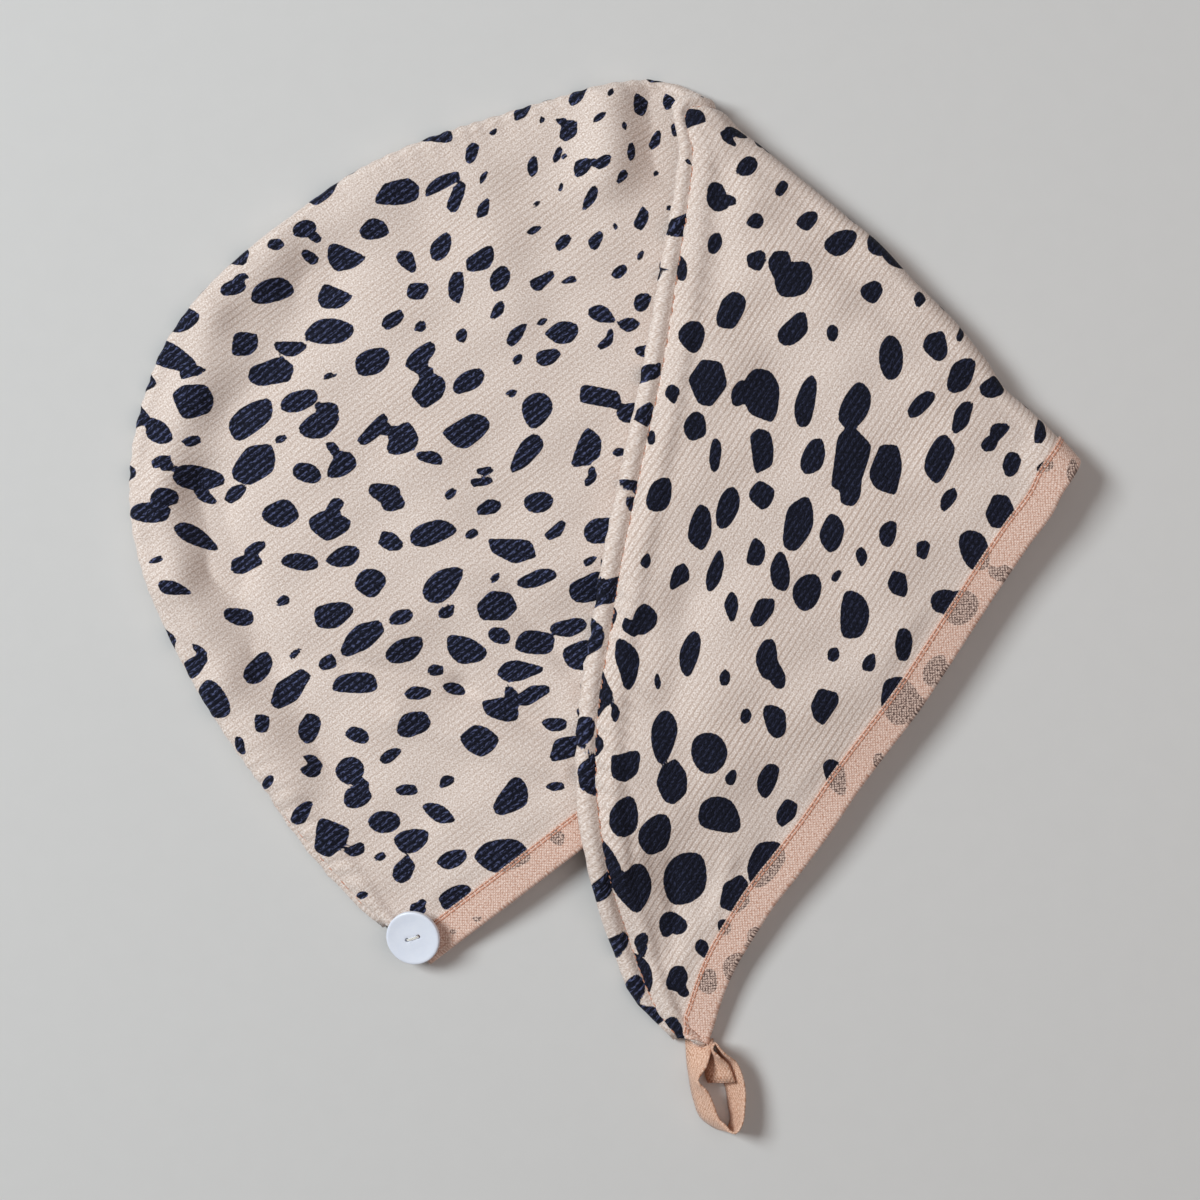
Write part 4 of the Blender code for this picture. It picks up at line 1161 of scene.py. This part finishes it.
def loop_wall():
    table = np.array(LOOP_ROWS, float)
    plan = LOOP.out(table[:, 0] * LOOP_REACH, table[:, 1] * LOOP_SPREAD)
    lower = np.column_stack([plan, table[:, 2] * LOOP_TAPE_WIDTH + LOOP_TAPE / 2])
    lean = np.radians(np.hypot(table[:, 3], table[:, 4]))
    way = unit(table[:, 3:5]) @ LOOP.axes * np.sin(lean)[:, None]
    rise = np.column_stack([way, np.cos(lean)])
    share = np.linspace(0, 1, ACROSS_LOOP)
    rows = lower[:, None] + rise[:, None] * LOOP_TAPE_WIDTH * share[None, :, None]
    flat = np.zeros((*rows.shape[:2], 5))
    flat[..., 0] = np.linspace(0, LOOP_LENGTH, len(rows))[:, None]
    flat[..., 1] = share * LOOP_TAPE_WIDTH
    sections = np.concatenate([rows, flat], -1)
    return resampled(sections, [4] * (len(sections) - 1))


tail_loop = add_wall("tail_loop_ribbon", loop_wall(), LOOP_TAPE, 1, no_print)

# %% [markdown]
# ## The button
# A two-hole polyester button, 23 mm across (size 36 in the button trade), turned on a lathe: a flat back, a
# rounded rim and a face that's sunk very little. It starts as a cylinder and is shaped in edit mode, and two
# smaller cylinders cut its holes.

# %% Button sizes
BUTTON_WIDTH = 0.0230
BUTTON_THICK = 0.0026
BUTTON_HOLE = 0.0018
BUTTON_HOLE_SPACING = 0.0052
BUTTON_TILT = 17.0
BUTTON_TILT_TOWARDS = 188.0
FACE_INSETS = ((0.0013, 0), (0.0007, -0.00018), (0.0055, -0.00004))  # rim, slope and sunk middle
BACK_INSET = (0.0012, 0.0005)
THREAD_TURN = 20.0
lowered = heading(HEM_TURN + BUTTON_TILT_TOWARDS)
tilt = Matrix.Rotation(math.radians(BUTTON_TILT), 4, Vector((-lowered[1], lowered[0], 0)))
BUTTON_PLACE = Matrix.Translation(BUTTON_MIDDLE) @ tilt
print("button middle", round(BUTTON_MIDDLE.z, 4), "m up")


# %% Helpers for modelling
def fresh(add_primitive, **settings):
    """A new primitive, with nothing else selected."""
    bpy.ops.object.select_all(action="DESELECT")
    add_primitive(**settings)
    return bpy.context.object


def select_faces(mesh, wanted):
    """Selects only the faces whose middle and normal the test wants."""
    bpy.ops.mesh.select_all(action="DESELECT")
    bm = bmesh.from_edit_mesh(mesh)
    for face in bm.faces:
        face.select_set(wanted(face.calc_center_median(), face.normal))
    bmesh.update_edit_mesh(mesh)


def apply_modifier(target, kind, **settings):
    made = target.modifiers.new(kind.lower(), kind)
    for name, value in settings.items():
        setattr(made, name, value)
    bpy.context.view_layer.objects.active = target
    bpy.ops.object.modifier_apply(modifier=made.name)


# %% The turned blank
def button_blank():
    blank = fresh(
        bpy.ops.mesh.primitive_cylinder_add, vertices=72, radius=BUTTON_WIDTH / 2, depth=BUTTON_THICK
    )
    blank.name = "two_hole_button"
    bpy.ops.object.mode_set(mode="EDIT")
    bpy.ops.mesh.select_mode(type="FACE")
    select_faces(blank.data, lambda middle, normal: normal.z > 0.9)
    for thickness, depth in FACE_INSETS:
        bpy.ops.mesh.inset(thickness=thickness, depth=depth)
    select_faces(blank.data, lambda middle, normal: normal.z < -0.9)
    bpy.ops.mesh.inset(thickness=BACK_INSET[0], depth=BACK_INSET[1])
    bpy.ops.object.mode_set(mode="OBJECT")
    return blank


def round_off(target, width, segments, sharpest):
    """Bevels the edges that are sharper than this many degrees."""
    angle = math.radians(sharpest)
    apply_modifier(target, "BEVEL", width=width, segments=segments, limit_method="ANGLE", angle_limit=angle)


# %% Its holes
def drill(blank, x, y):
    bit = fresh(
        bpy.ops.mesh.primitive_cylinder_add, vertices=24, radius=BUTTON_HOLE / 2, depth=0.01,
        location=(x, y, 0),
    )
    apply_modifier(blank, "BOOLEAN", operation="DIFFERENCE", object=bit, solver="EXACT")
    bpy.data.objects.remove(bit)


button = button_blank()
round_off(button, 0.0007, 4, 50)
hole_way = heading(THREAD_TURN) * BUTTON_HOLE_SPACING / 2
for side in (-1, 1):
    drill(button, *(hole_way * side))
round_off(button, 0.00018, 2, 60)
button.data.transform(BUTTON_PLACE)
bpy.context.view_layer.objects.active = button
button.select_set(True)
bpy.ops.object.shade_smooth_by_angle(angle=math.radians(35))
print("button", len(button.data.polygons), "faces")

# %% [markdown]
# The thread goes through the holes twice and is wound round itself underneath as a short shank. Each strand
# is a torus, cut in half and flattened, so it arches from hole to hole.

# %% Button thread
STRAND = 0.00025
STRANDS = ((-0.00026, 0.28), (0.00026, 0.33))  # how far from the middle, and how much of its height it keeps
SHANK = 0.0014  # its radius
WINDING = 0.0008  # from one turn of the shank's thread to the next
WINDING_STANDS = 0.08  # how far the turns stand out, as a share of the radius


def strand(offset, tall):
    made = fresh(
        bpy.ops.mesh.primitive_torus_add, major_segments=36, minor_segments=8,
        major_radius=BUTTON_HOLE_SPACING / 2, minor_radius=STRAND, rotation=(math.pi / 2, 0, 0),
    )
    bpy.ops.object.transform_apply(location=True, rotation=True, scale=True)
    bpy.ops.object.mode_set(mode="EDIT")
    bpy.ops.mesh.select_all(action="SELECT")
    bpy.ops.mesh.bisect(plane_co=(0, 0, 0), plane_no=(0, 0, 1), clear_inner=True, use_fill=True)
    bpy.ops.mesh.select_all(action="SELECT")
    bpy.ops.transform.resize(value=(1, 1, tall), center_override=(0, 0, 0))
    bpy.ops.object.mode_set(mode="OBJECT")
    made.data.transform(Matrix.Translation((0, offset, BUTTON_THICK / 2 - 0.0006)))
    return made


def shank():
    """The wound thread under the button, from its underside down to the cloth."""
    depth = BUTTON_MIDDLE.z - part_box("button_thread")[0][2]
    made = fresh(bpy.ops.mesh.primitive_cylinder_add, vertices=20, radius=SHANK, depth=depth)
    bpy.ops.object.mode_set(mode="EDIT")
    bpy.ops.mesh.select_all(action="SELECT")
    bpy.ops.mesh.subdivide(number_cuts=6)
    bpy.ops.object.mode_set(mode="OBJECT")
    for vertex in made.data.vertices:
        turns = math.sin(vertex.co.z * 2 * math.pi / WINDING + math.atan2(vertex.co.y, vertex.co.x))
        vertex.co.xy = vertex.co.xy * (1 + WINDING_STANDS * turns)
    made.data.transform(Matrix.Translation((0, 0, -depth / 2)))
    return made


strands = [strand(offset, tall) for offset, tall in STRANDS]
turn_strands = Matrix.Rotation(math.radians(THREAD_TURN), 4, "Z")
for piece in strands:
    piece.data.transform(BUTTON_PLACE @ turn_strands)
wound = shank()
wound.data.transform(Matrix.Translation(BUTTON_MIDDLE))
bpy.ops.object.select_all(action="DESELECT")
for piece in [*strands, wound]:
    piece.select_set(True)
bpy.context.view_layer.objects.active = wound
bpy.ops.object.join()
wound.name = "button_sewing_thread"
bpy.ops.object.shade_smooth()
print("thread", len(wound.data.polygons), "faces")

# %% [markdown]
# ## Materials
# One helper adds a node, sets it and links it. Colours are written as sRGB hex, as they are measured, and
# turned to the linear numbers that a shader needs.

# %% Material helpers
OUTPUTS = {"Attribute": "Fac", "TexWave": "Fac", "TexCoord": "Object", "Mix": 2}  # where it isn't the first


def linear(hex_colour):
    channels = [int(hex_colour[k : k + 2], 16) / 255 for k in (1, 3, 5)]
    return (*(c / 12.92 if c <= 0.04045 else ((c + 0.055) / 1.055) ** 2.4 for c in channels), 1.0)


def fill(node, inputs):
    """Gives a node's sockets a value each, or another node's output."""
    for name, value in inputs.items():
        if isinstance(value, bpy.types.NodeSocket):
            node.id_data.links.new(value, node.inputs[name])
        else:
            node.inputs[name].default_value = value


def add(tree, kind, inputs=None, **settings):
    """Adds a node with its settings and inputs, and gives its output. A Mix node mixes colours."""
    made = tree.nodes.new("ShaderNode" + kind)
    if kind == "Mix":
        made.data_type = "RGBA"
    for name, value in settings.items():
        setattr(made, name, value)
    fill(made, inputs or {})
    return made.outputs[OUTPUTS.get(kind, 0)]


def new_material(name):
    made = bpy.data.materials.new(name)
    made.use_nodes = True
    return made, made.node_tree, made.node_tree.nodes["Principled BSDF"]


# %% [markdown]
# ## Ribbed microfibre
# The cloth is warp-knitted polyester microfibre, brushed on its face, with ribs 2.5 mm apart that run along
# the hem. Brushing gives a soft sheen and no gloss. The grooves between the ribs are painted darker as
# shade.
# The ink lies in the pile, so on each rib's crest inside the dark spots short pale dashes show: partly the
# pale core of the fibres, partly a painted highlight where the crests catch the light.

# %% Ribbed microfibre
RIB_PITCH = 0.00248
WAVE_UNIT = 2 * math.pi / 20  # the period of a wave texture at scale 1


def ribbed_microfibre():
    made, tree, shader = new_material("ribbed_microfibre")
    uv = add(tree, "UVMap", uv_map="cloth")
    ink = add(tree, "Attribute", attribute_name="ink")
    shown = add(tree, "Attribute", attribute_name="rib")
    ribs = add(tree, "TexWave", {"Vector": uv, "Scale": WAVE_UNIT / RIB_PITCH, "Distortion": 0.9,
                                 "Detail Scale": 1.2}, bands_direction="Y")
    stretched = add(tree, "Mapping", {"Vector": uv, "Scale": (700, 1700, 1)})
    dashes = add(tree, "TexNoise", {"Vector": stretched, "Scale": 1.0})
    fuzz = add(tree, "TexNoise", {"Vector": uv, "Scale": 1500.0, "Detail": 3.0})
    patches = add(tree, "TexNoise", {"Vector": uv, "Scale": 24.0, "Detail": 3.0})
    patchy_ribs = add(tree, "MapRange", {"Value": patches, "From Min": 0.35, "From Max": 0.65, "To Min": 0.35})
    relief = add(tree, "Math", {0: patchy_ribs, 1: shown}, operation="MULTIPLY")

    # A rib is broad and its groove narrow. Its groove is painted darker as shade, and lies low in the bump.
    groove = add(tree, "MapRange", {"Value": ribs, "From Max": 0.42, "To Min": 1.0, "To Max": 0.0},
                 interpolation_type="SMOOTHSTEP")
    knots = add(tree, "MapRange", {"Value": dashes, "From Min": 0.35, "From Max": 0.6, "To Min": 0.45})
    relief = add(tree, "Math", {0: relief, 1: knots}, operation="MULTIPLY")
    shade = add(tree, "Math", {0: groove, 1: relief}, operation="MULTIPLY")
    grain = add(tree, "MapRange", {"Value": fuzz, "From Min": 0.33, "From Max": 0.67})
    pale = add(tree, "Mix", {"Factor": grain, 6: linear("#c3ac9d"), 7: linear("#f8ece5")})
    pile = add(tree, "Mix", {"Factor": shade, 6: pale, 7: linear("#bfa798")})

    # Short pale dashes on the crests inside the spots: partly the pale core of the fibres, partly a painted
    # highlight. They are clearer where the pile is longer.
    crest = add(tree, "MapRange", {"Value": ribs, "From Min": 0.25, "From Max": 0.8},
                interpolation_type="SMOOTHSTEP")
    loops = add(tree, "MapRange", {"Value": dashes, "From Min": 0.44, "From Max": 0.66},
                interpolation_type="SMOOTHSTEP")
    longer = add(tree, "MapRange", {"Value": shown, "From Min": 0.65, "To Min": 1.0, "To Max": 0.3})
    crest_tips_and_highlight = add(tree, "Math", {0: crest, 1: loops}, operation="MULTIPLY")
    crest_tips_and_highlight = add(tree, "Math", {0: crest_tips_and_highlight, 1: longer}, operation="MULTIPLY")
    speckle = add(tree, "Mix", {"Factor": grain, 6: linear("#030306"), 7: linear("#1c1e2e")})
    dark = add(tree, "Mix", {"Factor": crest_tips_and_highlight, 6: speckle, 7: linear("#555c80")})

    # The pile makes the edge of a spot ragged.
    ragged = add(tree, "Math", {0: fuzz, 1: 0.5, 2: ink}, operation="MULTIPLY_ADD")
    ragged = add(tree, "Math", {0: groove, 1: -0.12, 2: ragged}, operation="MULTIPLY_ADD")
    inked = add(tree, "MapRange", {"Value": ragged, "From Min": 0.10, "From Max": 0.34},
                interpolation_type="SMOOTHSTEP")
    colour = add(tree, "Mix", {"Factor": inked, 6: pile, 7: dark})
    sheen = add(tree, "MapRange", {"Value": inked, "To Min": 0.22, "To Max": 0.03})
    height = add(tree, "Math", {0: shade, 1: -1.0, 2: 1.0}, operation="MULTIPLY_ADD")
    height = add(tree, "Math", {0: fuzz, 1: 0.5, 2: height}, operation="MULTIPLY_ADD")
    height = add(tree, "Math", {0: dashes, 1: 0.25, 2: height}, operation="MULTIPLY_ADD")
    bump = add(tree, "Bump", {"Height": height, "Strength": 0.4, "Distance": 0.0004})
    fill(shader, {"Base Color": colour, "Roughness": 0.92, "Sheen Weight": sheen, "Sheen Roughness": 0.5,
                  "Specular IOR Level": 0.15, "Normal": bump})
    return made


# %% [markdown]
# ## Satin tape
# The binding is a thin satin tape, woven from bright polyester yarn. It is a little sheer, so the print
# under it shows through in grey, broken up by the weave. Its yarns cross at a slant. They are drawn 1 mm
# apart, a few times as coarse as they are, so that they show. The loop is drawn the same way, unprinted.

# %% Tape and loop
YARN_SLANT = 38
WARP_EVERY = 0.0010
WEFT_EVERY = 0.0011


def satin_tape(name, light, shade, through, sheer):
    made, tree, shader = new_material(name)
    uv = add(tree, "UVMap", uv_map="cloth")
    turned = add(tree, "Mapping", {"Vector": uv, "Rotation": (0, 0, math.radians(YARN_SLANT))})
    warp, weft = (
        add(tree, "TexWave", {"Vector": turned, "Scale": WAVE_UNIT / every, "Distortion": 2.6, "Detail": 3.0,
                              "Detail Scale": 1.6}, bands_direction=way)
        for every, way in ((WARP_EVERY, "X"), (WEFT_EVERY, "Y"))
    )
    mesh = add(tree, "Math", {0: warp, 1: weft}, operation="MULTIPLY")
    cloudy = add(tree, "TexNoise", {"Vector": uv, "Scale": 1100.0})
    tone = add(tree, "Math", {0: mesh, 1: 0.35, 2: cloudy}, operation="MULTIPLY_ADD")
    tone = add(tree, "MapRange", {"Value": tone, "From Min": 0.35, "From Max": 0.8})
    # The light and shade colours paint light on the yarns' crests and shade in the gaps between, with some
    # random tone.
    yarn = add(tree, "Mix", {"Factor": tone, 6: linear(shade), 7: linear(light)})
    ink = add(tree, "Attribute", attribute_name="ink")
    inked = add(tree, "MapRange", {"Value": ink, "From Min": -0.1, "From Max": 0.3, "To Max": sheer},
                interpolation_type="SMOOTHSTEP")
    holes = add(tree, "MapRange", {"Value": tone, "From Min": 0.2, "From Max": 0.75, "To Min": 1.0,
                                   "To Max": 0.2})
    shown = add(tree, "Math", {0: inked, 1: holes}, operation="MULTIPLY")
    colour = add(tree, "Mix", {"Factor": shown, 6: yarn, 7: linear(through)})
    bump = add(tree, "Bump", {"Height": mesh, "Strength": 0.5, "Distance": 0.0003})
    fill(shader, {"Base Color": colour, "Roughness": 0.55, "Sheen Weight": 0.15, "Specular IOR Level": 0.35,
                  "Normal": bump})
    return made


def twisted_thread(name, light, shade, twist=0.0006):
    """Spun polyester thread: a soft lustre, with its ply as fine slanting bands of painted light and shade.
    """
    made, tree, shader = new_material(name)
    place = add(tree, "TexCoord")
    ply = add(tree, "TexWave", {"Vector": place, "Scale": WAVE_UNIT / twist, "Distortion": 1.5},
              bands_direction="DIAGONAL")
    colour = add(tree, "Mix", {"Factor": ply, 6: linear(shade), 7: linear(light)})
    bump = add(tree, "Bump", {"Height": ply, "Strength": 0.3, "Distance": 0.0001})
    fill(shader, {"Base Color": colour, "Roughness": 0.6, "Sheen Weight": 0.2, "Normal": bump})
    return made


# %% [markdown]
# ## Button resin
# Cast unsaturated polyester, polished in a drum. It is a cool white with a soft gloss and the faintest
# clouding.

# %% Button resin
def polished_resin():
    made, tree, shader = new_material("polished_polyester_resin")
    place = add(tree, "TexCoord")
    cloud = add(tree, "TexNoise", {"Vector": place, "Scale": 260.0})
    colour = add(tree, "Mix", {"Factor": cloud, 6: linear("#dfe4f2"), 7: linear("#eceff8")})
    fine = add(tree, "TexNoise", {"Vector": place, "Scale": 1800.0})
    bump = add(tree, "Bump", {"Height": fine, "Strength": 0.08, "Distance": 0.0001})
    fill(shader, {"Base Color": colour, "Roughness": 0.28, "IOR": 1.53, "Coat Weight": 0.2, "Normal": bump})
    return made


# %% [markdown]
# ## What each piece is
# Each new piece gets its finish and rides on the towel's one body. All but the stitches take the place of a
# plain solid. Both panels are sheets of cloth.

# %% Declarations
cloth = ribbed_microfibre()
# Of the tape and the loop, the first colour is the painted light on the yarns and the second the painted
# shade.
tape = satin_tape("satin_tape", "#f8ddcf", "#c3917a", "#2e2a2c", 0.85)
ribbon = satin_tape("twill_loop_tape", "#f2cdb6", "#bd8768", "#2e2a2c", 0.0)
# Of each thread, the first colour is the painted light on its ply and the second the painted shade.
stitch_thread = twisted_thread("peach_sewing_thread", "#dba085", "#b9775a")
cream_thread = twisted_thread("cream_sewing_thread", "#f8f6f0", "#dcd6ca")
resin = polished_resin()
for piece, finish, slot, node in (
    (back_panel, cloth, "ribbed_microfibre", "back_panel"),
    (front_panel, cloth, "ribbed_microfibre", "front_panel"),
    (front_tape, tape, "satin_tape", "front_hem_tape"),
    (back_tape, tape, "satin_tape", "back_hem_tape"),
    (tail_loop, ribbon, "twill_loop_tape", "tail_loop"),
    (wound, cream_thread, "polyester_thread", "button_thread"),
    (button, resin, "polyester_button", "button"),
    (front_stitches, stitch_thread, "polyester_thread", None),
    (back_stitches, stitch_thread, "polyester_thread", None),
    (seam_stitches, stitch_thread, "polyester_thread", None),
):
    piece.data.materials.clear()
    piece.data.materials.append(finish)
    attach(piece, "root")
    if node:
        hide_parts(node)

# %% [markdown]
# ## Floor, light and camera
# The towel lies on a pale, slightly warm grey table under one large soft light from the upper left. The
# camera looks straight down on it with a long lens.

# %% Floor
def paper_floor():
    made, tree, shader = new_material("pale_grey_paper")
    place = add(tree, "TexCoord")
    grain = add(tree, "TexNoise", {"Vector": place, "Scale": 90.0, "Detail": 4.0})
    colour = add(tree, "Mix", {"Factor": grain, 6: linear("#d1cfcd"), 7: linear("#d4d2d0")})
    fill(shader, {"Base Color": colour, "Roughness": 0.85})
    return made


floor = fresh(bpy.ops.mesh.primitive_plane_add, size=6)
floor.name = "studio_floor"
floor.data.materials.append(paper_floor())

# %% Light and camera
def add_light(name, place, size, power, colour):
    light = bpy.data.lights.new(name, "AREA")
    light.size = size
    light.energy = power
    light.color = colour
    made = bpy.data.objects.new(name, light)
    bpy.context.scene.collection.objects.link(made)
    made.location = place
    made.rotation_euler = (-Vector(place)).to_track_quat("-Z", "Y").to_euler()


add_light("key_light", (-1.83, 0.67, 1.94), 1.0, 68, (0.90, 0.97, 1.0))
add_light("fill_light", (0.45, 0.0, 0.95), 0.9, 2.4, (1.0, 0.92, 0.89))
world = bpy.data.worlds.new("studio")
world.use_nodes = True
fill(world.node_tree.nodes["Background"], {"Color": (1.0, 0.91, 0.88, 1), "Strength": 0.148})
bpy.context.scene.world = world
bpy.context.scene.view_settings.view_transform = "Standard"

PIXEL = 0.00042  # one pixel of the photograph on the towel
PICTURE = 1200
PICTURE_MIDDLE = (-0.0019, 0.0029)
TOWEL_MIDDLE = 0.008  # the height that the pixel is measured at
lens = bpy.data.cameras.new("camera")
lens.lens = 85
lens.sensor_width = 36
distance = PIXEL * PICTURE * lens.lens / lens.sensor_width
camera = bpy.data.objects.new("camera", lens)
camera.location = (*PICTURE_MIDDLE, TOWEL_MIDDLE + distance)
bpy.context.scene.collection.objects.link(camera)
bpy.context.scene.camera = camera
print("camera", round(distance, 3), "m above the towel")
